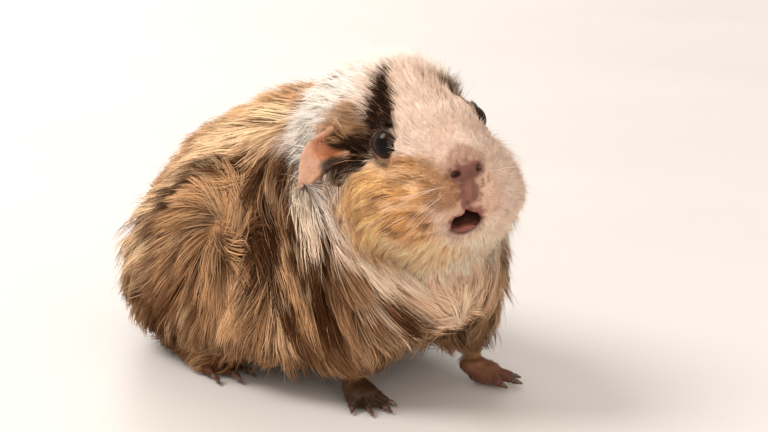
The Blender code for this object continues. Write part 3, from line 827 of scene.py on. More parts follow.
# Dark places low on the flank, over the streaks
DARK_PLACES = [
    ((-48, -14, 54), (20, 6, 7), DARK, 0.9), ((-47, -21, 66), (20, 5, 10), DARK, 0.8),
    ((-48, -26, 52), (20, 4, 10), DARK, 0.8), ((-51, -19, 44), (20, 7, 8), DARK, 0.95),
]
# Streaks on the flank, in mm: line, half its width, colour, strength. The pale ones are ridges of standing
# hair, partly paler hair and partly painted highlight where it catches the light; the dark bands under the
# back crest and beside the upright crest are partly dark underfur and partly painted shadow of the crests.
FLANK_STREAKS_AND_CREST_LIGHTING = [
    # the back crest: partly its own paler hair, partly painted highlight
    (BACK_CREST, 5.0, CREAM, 0.90),
    # painted shadow under the back crest, over dark underfur
    ([(-44, 1, 79), (-46, 24, 75), (-49, 37, 64), (-53, 42, 50)], 3.4, DARK, 0.95),
    ([(-46, 12, 70), (-48, 27, 64), (-50, 33, 48), (-50, 30, 36)], 2.8, HONEY, 0.75),
    ([(-47, 9, 64), (-49, 21, 56), (-50, 24, 42)], 2.6, BROWN, 0.90),
    ([(-52, 37, 52), (-54, 36, 40), (-52, 30, 28)], 3.6, BROWN, 0.90),
    # the upright crest: partly its own paler hair, partly painted highlight
    (UPRIGHT_CREST, 1.9, HONEY, 0.95),
    (UPRIGHT_CREST[1:], 1.4, CREAM, 0.80),
    # painted shadow beside the upright crest, over dark underfur
    ([(-45, -11, 78), (-49, -16, 64), (-50, -23, 50), (-49, -31, 35)], 4.2, DARK, 0.97),
    ([(-46, -20, 76), (-47, -25, 66), (-47, -31, 55), (-46, -37, 44), (-46, -40, 34)], 1.5, HONEY, 0.90),
    ([(-43, -26, 78), (-45, -33, 62), (-45, -40, 47), (-43, -47, 33)], 4.0, DARK, 0.95),
    ([(-43, -38, 68), (-43, -44, 58), (-42, -51, 46), (-40, -56, 34)], 1.4, HONEY, 0.85),
    ([(-42, -44, 60), (-41, -53, 46), (-38, -60, 34)], 3.4, DARK, 0.92),
    ([(-50, 3, 46), (-50, -8, 42), (-50, -14, 34)], 3.0, DARK, 0.8),
    ([(-50, 26, 26), (-50, 10, 20), (-49, -8, 17), (-47, -32, 18), (-40, -50, 20)], 5.5, BROWN, 0.7),
]
# Head patches on the animal's right, in the head's frame with x outwards: centre, radii, colour, strength
HEAD_PATCHES = [
    ((25, 26, -12), (22, 20, 17), GOLD, 1.0),        # cheek
    ((17, 12, -3), (12, 9, 9), FORE_CHEEK, 0.9),
    ((9, 5, -5.5), (6.5, 7.5, 7), NOSE_SIDE, 0.85),  # beside the nose
    # painted light: the lower cheek is brightened as if lit from the floor below
    ((18, 19, -27), (18, 12, 11), LOW_CHEEK_AND_FLOOR_LIGHT, 0.95),  # lower cheek
    ((16, 12, 2), (11, 11, 5), TAN, 0.8),            # from the eye to the nostril
    ((17, 18, 4), (9, 9, 4), ORANGE, 0.6),
    ((20, 13, -13), (12, 9, 9), ORANGE, 0.72),
    ((20, 48, 17), (8.5, 7, 6), TAN, 0.85),          # hair before and above the ear
    ((22, 50, 12), (9, 6.5, 5.5), TAN, 0.92),
    ((19, 44, 12), (10, 6, 8), UMBER, 0.7),
    ((24, 49, 8), (9, 7, 5), BLACK, 0.95),
    ((21, 44, 8), (13, 7.5, 8), BLACK, 0.97),        # between eye and ear
    ((29, 47, 1), (13, 9, 5.5), BLACK, 0.98),        # under the ear
    ((18, 31.5, 9.0), (9, 7.0, 7.4), BLACK, 0.97),   # behind the eye
]
# The same for its left, where the face is paler
LEFT_PATCHES = [
    ((27, 40, -4), (12, 12, 11), GOLD, 0.85),
    ((24, 50, 12), (9, 8, 8), DARK, 0.9),
    ((18, 38, 21), (9, 10, 8), DARK, 0.97),
    ((20, 42, 9), (8, 8, 8), BLACK, 0.95),
    ((28, 47, 1), (12, 9, 5.5), BLACK, 0.95),
    ((17.0, 30, 11), (7, 8.0, 7.5), BLACK, 0.97),
    ((25, 24, -20), (10, 12, 9), CREAM, 0.5),
]
# The black wedge that stands on the right eye: its point on the crown, and its two lower corners
WEDGE = np.array([(8.4, 42.6, 35.0), (21.0, 39.0, 10.0), (11.0, 21.0, 14.0)])


def wedge(p, corners, soft):
    """1 inside the triangle of these corners, seen square on, with an edge this soft, in mm."""
    normal = unit(np.cross(corners[1] - corners[0], corners[2] - corners[0]))
    depths = []
    for a, b, c in ((0, 1, 2), (1, 2, 0), (2, 0, 1)):
        edge = unit(corners[b] - corners[a])
        inward = np.cross(normal, edge)
        inward = inward * np.sign((corners[c] - corners[a]) @ inward)
        depths.append((p - corners[a]) @ inward)
    return ease(np.min(depths, axis=0), -soft, soft) * (1 - ease(np.abs((p - corners[0]) @ normal), 7, 12))


def painted(colour, p, patches, share=1):
    """The colour with these patches laid over it in turn."""
    for centre, radii, tone, strength in patches:
        colour = mix(colour, tone, strength * share * patch(p, centre, radii))
    return colour


def body_tones(p, bent):
    """Golden tan, brown and dark streaks down the flank with painted highlight and shadow along its crests,
    pale shoulder, throat and chest, the chest partly darkened by painted shade, white collar.
    """
    shaken = p + 7 * jitter(p, 13, (4, 5, 6))
    streak = 0.55 * wander(shaken, (12, 6.5, 24), 7) + 0.45 * wander(shaken, 24, 8)
    body = mix(mix(mix(DARK, BROWN, ease(streak, 0.12, 0.34)), TAN, ease(streak, 0.40, 0.58)),
               HONEY, 0.80 * ease(streak, 0.64, 0.86))
    top = ease(p[:, 2], 74, 98) * ease(p[:, 1], -12, 6)
    body = mix(body, mix(HONEY, CREAM, wander(p, 13, 9)), 0.7 * top)
    body = painted(body, shaken, BODY_PATCHES)
    sway = to_right(p) + 3.0 * jitter(p, 12, (21, 22, 23))
    outward = np.abs(p[:, 0])
    side = ease(outward, 16, 26)
    for line, half_width, colour, strength in FLANK_STREAKS_AND_CREST_LIGHTING:
        gap = from_line(sway, line)
        body = mix(body, colour, strength * side * (1 - ease(gap, 0.6 * half_width, 1.5 * half_width)))
    low = ease(-p[:, 2], -44, -26)
    body = mix(body, body * (0.74, 0.70, 0.66), side * low)
    body = painted(body, sway, DARK_PLACES, side)

    ridge = shoulder_ridge(shaken)
    pale = ease(ridge, -2, 3) * ease(p[:, 2], 8, 26)
    body = mix(body, mix(SILVER, CREAM, ease(wander(p, (6, 6, 3.0), 11), 0.3, 0.7)), 0.92 * pale)
    locks = ease(wander(p, (12, 12, 3.4), 12), 0.52, 0.72)
    body = mix(body, BROWN, 0.72 * pale * locks * ease(outward, 16, 28))
    tuft = (1 - ease(np.abs(ridge - 3), 2.5, 6)) * ease(outward, 24, 34)
    # painted shade: the shoulder's white tufts take the colour of white hair in shade
    body = mix(body, WHITE_IN_SHADE, 0.8 * tuft * ease(p[:, 2], 50, 60) * (1 - ease(p[:, 2], 80, 88)))
    body = mix(body, WHITE_IN_SHADE, 0.97 * side * (1 - ease(from_line(sway, SHOULDER_TUFT), 2.8, 5.2)))
    # the chest's cream hair darkened towards tan: partly its own colour, partly painted shade
    chest = ease(-p[:, 1], 44, 60) * (1 - ease(-p[:, 0], 24, 36))
    chest = 0.92 * chest * (1 - ease(p[:, 2], 86, 96)) * ease(p[:, 2], 14, 30)
    body = mix(body, mix(CREAM, TAN, 0.74), chest)
    body = painted(body, shaken, CHEST_PATCHES_AND_SHADOW)
    body = mix(body, BROWN, 0.5 * (1 - ease(p[:, 2], 9, 20)))
    collar = ease(bent[:, 2], 6, 13) * (1 - ease(p[:, 1], -21, -15)) * ease(bent[:, 1], 40, 50)
    return mix(body, WHITE, collar)


def head_tones(p, q, bent):
    """White blaze, muzzle and crown, golden right cheek brightened below by painted light, a chin in painted
    shade, black round the eyes, a wedge over the right.
    """
    head = mix(BLAZE, WHITE, 0.30 * wander(p, 7, 13))
    head = mix(head, WHITE, ease(bent[:, 1], 40, 54))
    head = painted(head, bent, [((0, 6, -12), (13, 13, 11), PEACH, 0.80)])
    # painted shade: the chin's pale hair takes the colour of white hair in shade
    head = mix(head, mix(WHITE_IN_SHADE, CREAM, 0.15), 0.9 * ease(-bent[:, 2], 16, 28))
    sided = mirrored(bent)
    on_right = ease(-bent[:, 0], -3, 3)
    head = painted(head, sided, HEAD_PATCHES, on_right)
    head = painted(head, sided, LEFT_PATCHES, 1 - on_right)
    head = mix(head, BLACK, on_right * wedge(sided, WEDGE, 0.9))
    cheek = patch(sided, (20, 19, -7), (14, 19, 18)) * on_right
    strands = wander(q, (3.4, 7, 1.5), 14)
    head = mix(head, UMBER, 0.8 * cheek * ease(strands, 0.60, 0.80) * ease(sided[:, 1], 4, 9))
    head = mix(head, CREAM, 0.55 * cheek * ease(-strands, -0.30, -0.12))
    head = painted(head, bent, [((0, 2, 1.5), (8.5, 8, 5.5), mix(PEACH, PINK, 0.5), 0.85)])
    dots = patch(slanted(sided), (6.5, 3.5, -7), (3.6, 6, 4.5)) * ease(wander(q, 1.1, 15), 0.78, 0.88)
    return mix(head, UMBER, 0.7 * dots)


def tones(points, face):
    """Coat colour at points of the skin."""
    p, q = points / MM, in_head(points)
    bent = q + 2.4 * jitter(p, 9, (1, 2, 3))
    return mix(body_tones(p, bent), head_tones(p, q, bent), ease(face, 0.35, 0.65))


def silver_hair(points):
    """Share of the streaked silver hair between cheek and shoulder."""
    p, q = points / MM, in_head(points)
    behind = ease(q[:, 1] - 40 - 0.4 * (q[:, 2] + 2), -4, 3) * ease(shoulder_ridge(p), -4, 2)
    return behind * (1 - ease(q[:, 2], -6, 2)) * ease(p[:, 2], 22, 36) * ease(np.abs(q[:, 0]), 12, 20)


def ear_tones(sided):
    """A pale rim and lobe, a warm hollow with painted shade darkening it towards the head, and black under
    the ear.
    """
    lobe = ease(sided[:, 0], 32, 35) * (1 - ease(sided[:, 2], 6, 9))
    # the warm hollow, with painted shade in its deepest corner by the head
    colour = painted(np.array(EAR_SKIN), sided, [((27.5, 53, 9.5), (6.0, 9, 4.6), EAR_HOLLOW, 0.95),
                                                 ((23.0, 51, 11.5), (4.6, 9, 4.2), EAR_DEPTH_SHADE, 0.97)])
    colour = mix(colour, EAR_LOBE, 0.85 * lobe)
    return painted(colour, sided, [((27.5, 49, 3.0), (5.5, 7, 3.6), BLACK, 0.97)])


def bare(points, ear, foot, lip):
    """Share of bare skin, and its colour."""
    p, q = points / MM, in_head(points)
    sided, straight = mirrored(q), slanted(q)
    torn = straight + 1.3 * jitter(p, 1.5, (31, 32, 33))
    nose = patch(torn, (0, 0.8, -1.0), (6.8, 6.4, 3.9))
    strip = patch(torn, (0, 1.0, -7.6), (3.9, 5.0, 7.4))
    lips = patch(torn, (0.2, 5.0, -17.6), (7.0, 7.0, 5.6))
    within = ease(q[:, 1], 4.0, 5.6) * patch(straight, (0.6, 7, -17.2), (7.0, 9, 6.0))
    share = np.maximum.reduce([nose * 0.95, strip * 0.9, lips, lip, within])
    strip_edge = ease(np.abs(straight[:, 0]), 2.0, 3.6) * ease(-q[:, 2], 4, 6)
    pinkness = 0.20 * wander(p, 2.2, 20) + 0.50 * ease(q[:, 2], -1.5, 2.5) + 0.3 * strip_edge
    colour = mix(MAUVE, PINK, pinkness)
    colour = mix(colour, LIP, ease(-q[:, 2], 11, 14))
    # painted shade inside the mouth's opening and at the lower lip's inner edge
    colour = mix(colour, MOUTH_AND_NOSTRIL_SHADE, within * (1 - lip))
    colour = mix(colour, mix(LIP, MOUTH_AND_NOSTRIL_SHADE, 0.55 * ease(q[:, 2], -19.5, -17.5)), lip)
    # nostrils: a dim rim, and painted shade in the hole
    colour = painted(colour, sided, [((4.9, 2.2, -0.9), (2.9, 3.0, 1.9), np.array(LIP) * 0.45, 0.75),
                                     ((4.4, 2.2, -1.0), (1.9, 2.2, 1.2), MOUTH_AND_NOSTRIL_SHADE, 0.9)])
    colour = painted(colour, straight, [((0, 0.5, -8.5), (1.3, 4.0, 6.0), LIP, 0.75)])
    ears = ease(ear, 0.3, 0.7)
    colour = mix(colour, ear_tones(sided), ears)
    share = np.maximum(share, ears * 0.9)
    feet = ease(foot, 0.3, 0.7)
    toe = mix(TOES["fore_left"], TOES["fore_right"], 1 - ease(p[:, 0], -20, -8))
    toe = mix(toe, TOES["hind"], ease(p[:, 1], -10, 5))
    colour = mix(colour, toe, feet)
    share = np.maximum(share, feet * (0.55 + 0.45 * (1 - ease(p[:, 2], 3, 9))))
    return share, colour


def colour_skin(mesh):
    points = points_of(mesh)
    share, colour = bare(points, *(taken(mesh, name, 1) for name in ("ear", "foot", "lip")))
    lid = taken(mesh, "lid", 1) > 0.5
    share[lid] = taken(mesh, "bare", 1)[lid]
    colour[lid] = taken(mesh, "tone", 4)[lid][:, :3]
    coat = tones(points, taken(mesh, "face", 1)) * UNDERCOAT
    give(mesh, "tone", mix(coat, colour, share), "FLOAT_COLOR")
    give(mesh, "bare", share)


colour_skin(skin.data)


# ---------------------------------------------------------------- node trees

class Nodes:
    """Adds nodes to a tree: a type, its settings first, then the values or links of its sockets."""

    def __init__(self, tree):
        self.tree = tree

    def add(self, kind, settings=None, inputs=None, output=0):
        node = self.tree.nodes.new(kind)
        for key, value in (settings or {}).items():
            if key == "stops":
                ramp = node.color_ramp.elements
                while len(ramp) < len(value):
                    ramp.new(0.5)
                for stop, (at, colour) in zip(ramp, value):
                    stop.position, stop.color = at, (*colour, 1)
            else:
                setattr(node, key, value)
        for key, value in (inputs or {}).items():
            socket = node.inputs[key]
            if isinstance(value, Wire):
                value = value.socket
            if isinstance(value, bpy.types.NodeSocket):
                self.tree.links.new(value, socket)
            else:
                socket.default_value = value
        return Wire(self, node.outputs[output]) if len(node.outputs) else node


class Wire:
    """An output socket. Arithmetic on it adds Math nodes."""

    def __init__(self, nodes, socket):
        self.nodes, self.socket = nodes, socket

    def other(self, output):
        return Wire(self.nodes, self.socket.node.outputs[output])

    def math(self, operation, *terms, clamp=False):
        settings = {"operation": operation, "use_clamp": clamp}
        return self.nodes.add("ShaderNodeMath", settings, dict(enumerate(terms)))

    def __add__(self, other): return self.math("ADD", self, other)
    def __radd__(self, other): return self.math("ADD", other, self)
    def __sub__(self, other): return self.math("SUBTRACT", self, other)
    def __rsub__(self, other): return self.math("SUBTRACT", other, self)
    def __mul__(self, other): return self.math("MULTIPLY", self, other)
    def __rmul__(self, other): return self.math("MULTIPLY", other, self)
    def __truediv__(self, other): return self.math("DIVIDE", self, other)
    def __pow__(self, other): return self.math("POWER", self, other)
    def clamped(self): return self.math("ADD", self, 0.0, clamp=True)


# Socket numbers of the Mix node, whose sockets share their names
MIX_FACTOR, MIX_VECTOR_A, MIX_VECTOR_B, MIX_COLOUR_A, MIX_COLOUR_B = 0, 4, 5, 6, 7
MIX_VECTOR_OUT, MIX_COLOUR_OUT = 1, 2


def blend_colour(nodes, a, b, factor, way="MIX"):
    a, b = ((*c, 1) if isinstance(c, tuple) else c for c in (a, b))
    return nodes.add("ShaderNodeMix", {"data_type": "RGBA", "blend_type": way},
                     {MIX_FACTOR: factor, MIX_COLOUR_A: a, MIX_COLOUR_B: b}, MIX_COLOUR_OUT)


def geometry_tree(name, sockets):
    """A Geometry Nodes group with these named inputs, and its (nodes, input wires, output node)."""
    tree = bpy.data.node_groups.new(name, "GeometryNodeTree")
    tree.interface.new_socket("Geometry", in_out="OUTPUT", socket_type="NodeSocketGeometry")
    tree.interface.new_socket("Geometry", in_out="INPUT", socket_type="NodeSocketGeometry")
    for label, kind in sockets.items():
        tree.interface.new_socket(label, in_out="INPUT", socket_type=kind)
    nodes = Nodes(tree)
    start = nodes.add("NodeGroupInput")
    wires = {s.name: Wire(nodes, s) for s in start.socket.node.outputs if s.name}
    end = tree.nodes.new("NodeGroupOutput")
    return tree, nodes, wires, end


def run_tree(obj, tree, values):
    """The mesh that the tree makes of the object, with the tree's inputs set by socket identifier."""
    modifier = obj.modifiers.new(tree.name, "NODES")
    modifier.node_group = tree
    for item in tree.interface.items_tree:
        if item.in_out == "INPUT" and item.name in values:
            modifier[item.identifier] = values[item.name]
    mesh = evaluated_mesh(obj)
    obj.modifiers.remove(modifier)
    return mesh


def scatter_tree():
    """Roots of the coat: points an even spacing apart over the skin, thinned by an attribute."""
    tree, nodes, wires, end = geometry_tree("scatter_roots", {
        "Spacing": "NodeSocketFloat", "Most": "NodeSocketFloat",
        "Where": "NodeSocketString", "Seed": "NodeSocketInt"})
    where = nodes.add("GeometryNodeInputNamedAttribute", {"data_type": "FLOAT"}, {"Name": wires["Where"]})
    spread = nodes.add("GeometryNodeDistributePointsOnFaces", {"distribute_method": "POISSON"}, {
        "Mesh": wires["Geometry"], "Distance Min": wires["Spacing"], "Density Max": wires["Most"],
        "Density Factor": where, "Seed": wires["Seed"]})
    kept = nodes.add("GeometryNodePointsToVertices", None, {"Points": spread})
    tree.links.new(kept.socket, end.inputs[0])
    return tree


def tuft_tree():
    """One tuft shape on each root, bent along the root's guides, with its colour and bake map place."""
    tree, nodes, wires, end = geometry_tree("grow_tufts", {
        "Tuft": "NodeSocketObject", "Patch": "NodeSocketFloat", "Softness": "NodeSocketFloat",
        "Coat": "NodeSocketMaterial"})

    def named(name, kind="FLOAT_VECTOR"):
        return nodes.add("GeometryNodeInputNamedAttribute", {"data_type": kind}, {"Name": name})

    def between(a, b, t):
        return nodes.add("ShaderNodeMix", {"data_type": "VECTOR"},
                         {MIX_FACTOR: t, MIX_VECTOR_A: a, MIX_VECTOR_B: b}, MIX_VECTOR_OUT)

    def stored(geometry, name, value, kind="FLOAT", domain="POINT"):
        return nodes.add("GeometryNodeStoreNamedAttribute", {"data_type": kind, "domain": domain},
                         {"Geometry": geometry, "Name": name, "Value": value})

    def vector(operation, a, b):
        return nodes.add("ShaderNodeVectorMath", {"operation": operation}, {0: a, 1: b})

    def scaled(v, factor):
        return nodes.add("ShaderNodeVectorMath", {"operation": "SCALE"}, {0: v, "Scale": factor})

    shape = nodes.add("GeometryNodeObjectInfo", {"transform_space": "ORIGINAL"},
                      {"Object": wires["Tuft"]}, "Geometry")
    placed = nodes.add("GeometryNodeInstanceOnPoints", None,
                       {"Points": wires["Geometry"], "Instance": shape})
    real = nodes.add("GeometryNodeRealizeInstances", None, {"Geometry": placed})
    root = named("root")
    from_root = vector("SUBTRACT", nodes.add("GeometryNodeInputPosition"), root)
    local = nodes.add("ShaderNodeSeparateXYZ", None, {0: from_root})
    marked = stored(real, "along", local.other(1))
    marked = stored(marked, "beside", local)
    marked = stored(marked, "above", local.other(2))
    along, across, over = named("along", "FLOAT"), named("beside", "FLOAT"), named("above", "FLOAT")
    guides = [root, named("guide_1"), named("guide_2"), named("guide_3")]
    while len(guides) > 1:  # a smooth curve through the guides
        guides = [between(a, b, along) for a, b in zip(guides, guides[1:])]
    section = vector("ADD", scaled(named("half_width"), across), scaled(named("thickness"), over))
    bent = nodes.add("GeometryNodeSetPosition", None,
                     {"Geometry": marked, "Position": vector("ADD", guides[0], section)})
    at_root, at_tip = (named(tone, "FLOAT_COLOR") for tone in ("root_tone", "tip_tone"))
    tone = blend_colour(nodes, at_root, at_tip, along ** 0.9)
    coloured = stored(bent, "tone", tone, "FLOAT_COLOR")
    spot = nodes.add("ShaderNodeCombineXYZ", None, {
        0: (across * 0.45 + 0.5) * wires["Patch"],
        1: (along * 0.85 + over * 0.1 + 0.05) * wires["Patch"], 2: 0.0})
    mapped = stored(coloured, "OFBake", vector("ADD", named("unwrap"), spot), "FLOAT2", "CORNER")
    smooth = nodes.add("GeometryNodeSetShadeSmooth", None, {"Geometry": mapped})
    facing = between(nodes.add("GeometryNodeInputNormal"), named("stand"), wires["Softness"])
    softened = nodes.add("GeometryNodeSetMeshNormal", {"mode": "FREE", "domain": "POINT"},
                         {"Mesh": smooth, "Custom Normal": vector("NORMALIZE", facing, (0, 0, 0))})
    finished = nodes.add("GeometryNodeSetMaterial", None, {"Geometry": softened, "Material": wires["Coat"]})
    tree.links.new(finished.socket, end.inputs[0])
    return tree


# ---------------------------------------------------------------- tufts

SIDES = ((0, 1), (1, 2), (2, 0))  # of a tuft's section


def tuft_shape(name, rings):
    """One closed tuft with a three-sided section: x across from -1 to 1, y along from 0 to 1, z over.

    Rings are (along, share of the width).
    """
    points = [corner for along, share in rings
              for corner in ((-share, along, 0), (share, along, 0), (0, along, share))]
    tip, last = len(points), len(points) - 3
    points.append((0, 1, 0))
    faces = [(0, 1, 2)]
    for a in range(0, last, 3):
        for i, j in SIDES:
            faces += [(a + i, a + i + 3, a + j), (a + j, a + i + 3, a + j + 3)]
    faces += [(last + i, tip, last + j) for i, j in SIDES]
    obj = object_from(name, points, faces)
    obj.hide_render = True
    return obj


def low_unwrap(obj, faces, chosen=None):
    """(tree, corner points, corner places) of an unwrap of a simple copy of the skin or a part of it."""
    copy = bpy.data.objects.new("unwrap", obj.data.copy())
    bpy.context.scene.collection.objects.link(copy)
    if chosen is not None:
        drop_points(copy.data, ~chosen)
    thin_out(copy, faces)
    for other in bpy.context.view_layer.objects:
        other.select_set(False)
    copy.select_set(True)
    bpy.context.view_layer.objects.active = copy
    bpy.ops.object.mode_set(mode="EDIT")
    bpy.ops.mesh.select_all(action="SELECT")
    bpy.ops.uv.smart_project(angle_limit=math.radians(66), island_margin=2 * PATCH)
    bpy.ops.object.mode_set(mode="OBJECT")
    mesh = copy.data
    points = points_of(mesh)
    tri = np.array([tuple(p.vertices) for p in mesh.polygons])
    places = np.zeros(len(mesh.loops) * 2, np.float32)
    mesh.uv_layers.active.data.foreach_get("uv", places)
    places = places.reshape(-1, 3, 2).astype(float)
    tree = search_tree(points, tri)
    bpy.data.objects.remove(copy)
    return tree, points[tri], places


def nearest_on(tree, spots):
    """Nearest places on the tree's surface, and the faces they lie on."""
    found = [tree.find_nearest(spot) for spot in spots.tolist()]
    return np.array([tuple(f[0]) for f in found]), np.array([f[2] for f in found])


def unwrapped(unwrap, spots):
    """Places of these points on the unwrap."""
    tree, corners, places = unwrap
    on, face = nearest_on(tree, spots)
    a, b, c = corners[face].transpose(1, 0, 2)
    ab, ac, ap = b - a, c - a, on - a
    d00, d01, d11 = (ab * ab).sum(1), (ab * ac).sum(1), (ac * ac).sum(1)
    d20, d21 = (ap * ab).sum(1), (ap * ac).sum(1)
    below = np.maximum(d00 * d11 - d01 * d01, 1e-20)
    v = np.clip((d11 * d20 - d01 * d21) / below, 0, 1)
    w = np.clip((d00 * d21 - d01 * d20) / below, 0, 1)
    uv = places[face]
    place = uv[:, 0] * (1 - v - w)[:, None] + uv[:, 1] * v[:, None] + uv[:, 2] * w[:, None]
    return np.clip(place, 0.0, 1 - PATCH)


def on_skin(spots):
    """Nearest places on the skin: points, smooth normals and the skin vertex beside each."""
    on, face = nearest_on(skin_tree, np.asarray(spots))
    corner = skin_shell.triangles[face]
    return on, unit(skin_up[corner].mean(1)), corner[:, 0]


SKIN_FIELDS = {field: taken(skin.data, field, 1) for field in ("face", "ear", "foot", "leg", "bare", "lip")}


def crest_distance(p, back_width=0):
    """How far points in mm lie from the upright crest, or from the back crest and its width."""
    p = to_right(p)
    return np.minimum(from_line(p, UPRIGHT_CREST), from_line(p, BACK_CREST) - back_width)


def hair_length(points, fields):
    """Length of the hair in mm at points of the skin."""
    p, q = points / MM, in_head(points)
    outward, y, z = mirrored(q).T
    body = 18 - 2 * ease(p[:, 2], 70, 100) - 4 * (1 - ease(p[:, 2], 8, 26)) - 1.5 * ease(-p[:, 1], 35, 60)
    body += 4 * (1 - ease(crest_distance(p), 2, 7))
    head = 1.5 + 5.5 * ease(y, 4, 26) + 4.5 * ease(y, 24, 44) + 5.5 * ease(y, 44, 66)
    head += 3.0 * ease(outward, 13, 24) * ease(-z, -2, 12) * ease(y, 12, 26) + 2.5 * ease(-z, 16, 30)
    head += 2.2 * ease(outward, 8, 16) * ease(-z, -6, 4) * (1 - ease(y, 16, 26))
    head *= 1 - 0.30 * ease(z, 8, 18) * (1 - ease(y, 40, 55))
    fringe = patch(mirrored(q), (22, 41, 3), (6, 7, 7))
    near_eye = eye_distance(q)
    head = np.minimum(head + 5 * fringe, 2.2 + 9 * ease(near_eye, 7, 17) + 20 * ease(near_eye, 15, 22))
    length = mix(body, head, ease(fields["face"], 0.2, 0.8))
    leg = 2.5 + 9 * ease(p[:, 2], 8, 26)
    length = mix(length, np.minimum(length, leg), ease(fields["leg"], 0.2, 0.8))
    length = mix(length, 2.3, ease(fields["foot"], 0.2, 0.7))
    return mix(length, 2.6, ease(fields["ear"], 0.2, 0.6))


def hair_rise(points, fields, length):
    """How far the coat's surface stands over the skin, in mm."""
    body = 8.0 - 3.0 * (1 - ease(points[:, 2] / MM, 8, 24))
    rise = mix(body, head_depth(in_head(points)) + 0.5, ease(fields["face"], 0.2, 0.8))
    rise = mix(rise, np.minimum(rise, 2.8), ease(fields["leg"], 0.2, 0.8))
    for part, most in (("foot", 0.7), ("ear", 0.6)):
        rise = mix(rise, 0.8, ease(fields[part], 0.2, most))
    return np.minimum(rise, 0.55 * length)


def leaders_of(spots, lock_size, rng):
    """One leading tuft for each cell of lock_size mm, and the number of the leader nearest each tuft."""
    order = rng.permutation(len(spots))
    cells = np.floor(spots / (lock_size * MM)).astype(int)
    _, first = np.unique(cells[order], axis=0, return_index=True)
    leaders = order[first]
    near = KDTree(len(leaders))
    for i, leader in enumerate(leaders):
        near.insert(spots[leader].tolist(), i)
    near.balance()
    return leaders, np.array([near.find(spot)[1] for spot in spots.tolist()])


def turned(a, b, angle):
    """Directions a turned by an angle towards b, which stands square to a."""
    return a * np.cos(angle)[:, None] + b * np.sin(angle)[:, None]


def laid_out(spots, up, face, heading, length):
    """Each tuft's root and three guides on the skin: places, skin normals and shares of the face."""
    places, ups, on_face = [spots], [up], [face]
    for _ in range(GUIDES):
        place, over, vertex = on_skin(places[-1] + heading * (length / GUIDES * MM)[:, None])
        places.append(place)
        ups.append(over)
        on_face.append(SKIN_FIELDS["face"][vertex])
        carried = along_skin(heading, over)
        heading = unit(mix(carried, lie(place, over, on_face[-1]), 0.42))
    return places, ups, on_face


def lock_tones(base, seen, face, own):
    """Locks differ: behind the cheek some are brown and some pale, coloured as white hair in painted shade;
    over the flank some are dark and some bleached.
    """
    silver = silver_hair(seen)
    base = mix(base, BROWN, 0.85 * silver * ease(own, 0.35, 0.9))
    # painted shade: pale silver locks take the colour of white hair in shade
    base = mix(base, WHITE_IN_SHADE, 0.55 * silver * ease(-own, 0.3, 1.0))
    flank = (1 - silver) * (1 - ease(face, 0.3, 0.7)) * (1 - ease(base.mean(1), 0.42, 0.55))
    base = mix(base, BROWN, 0.50 * flank * ease(own, 0.9, 1.6))
    return mix(base, CREAM, 0.35 * flank * ease(-own, 1.0, 1.7))


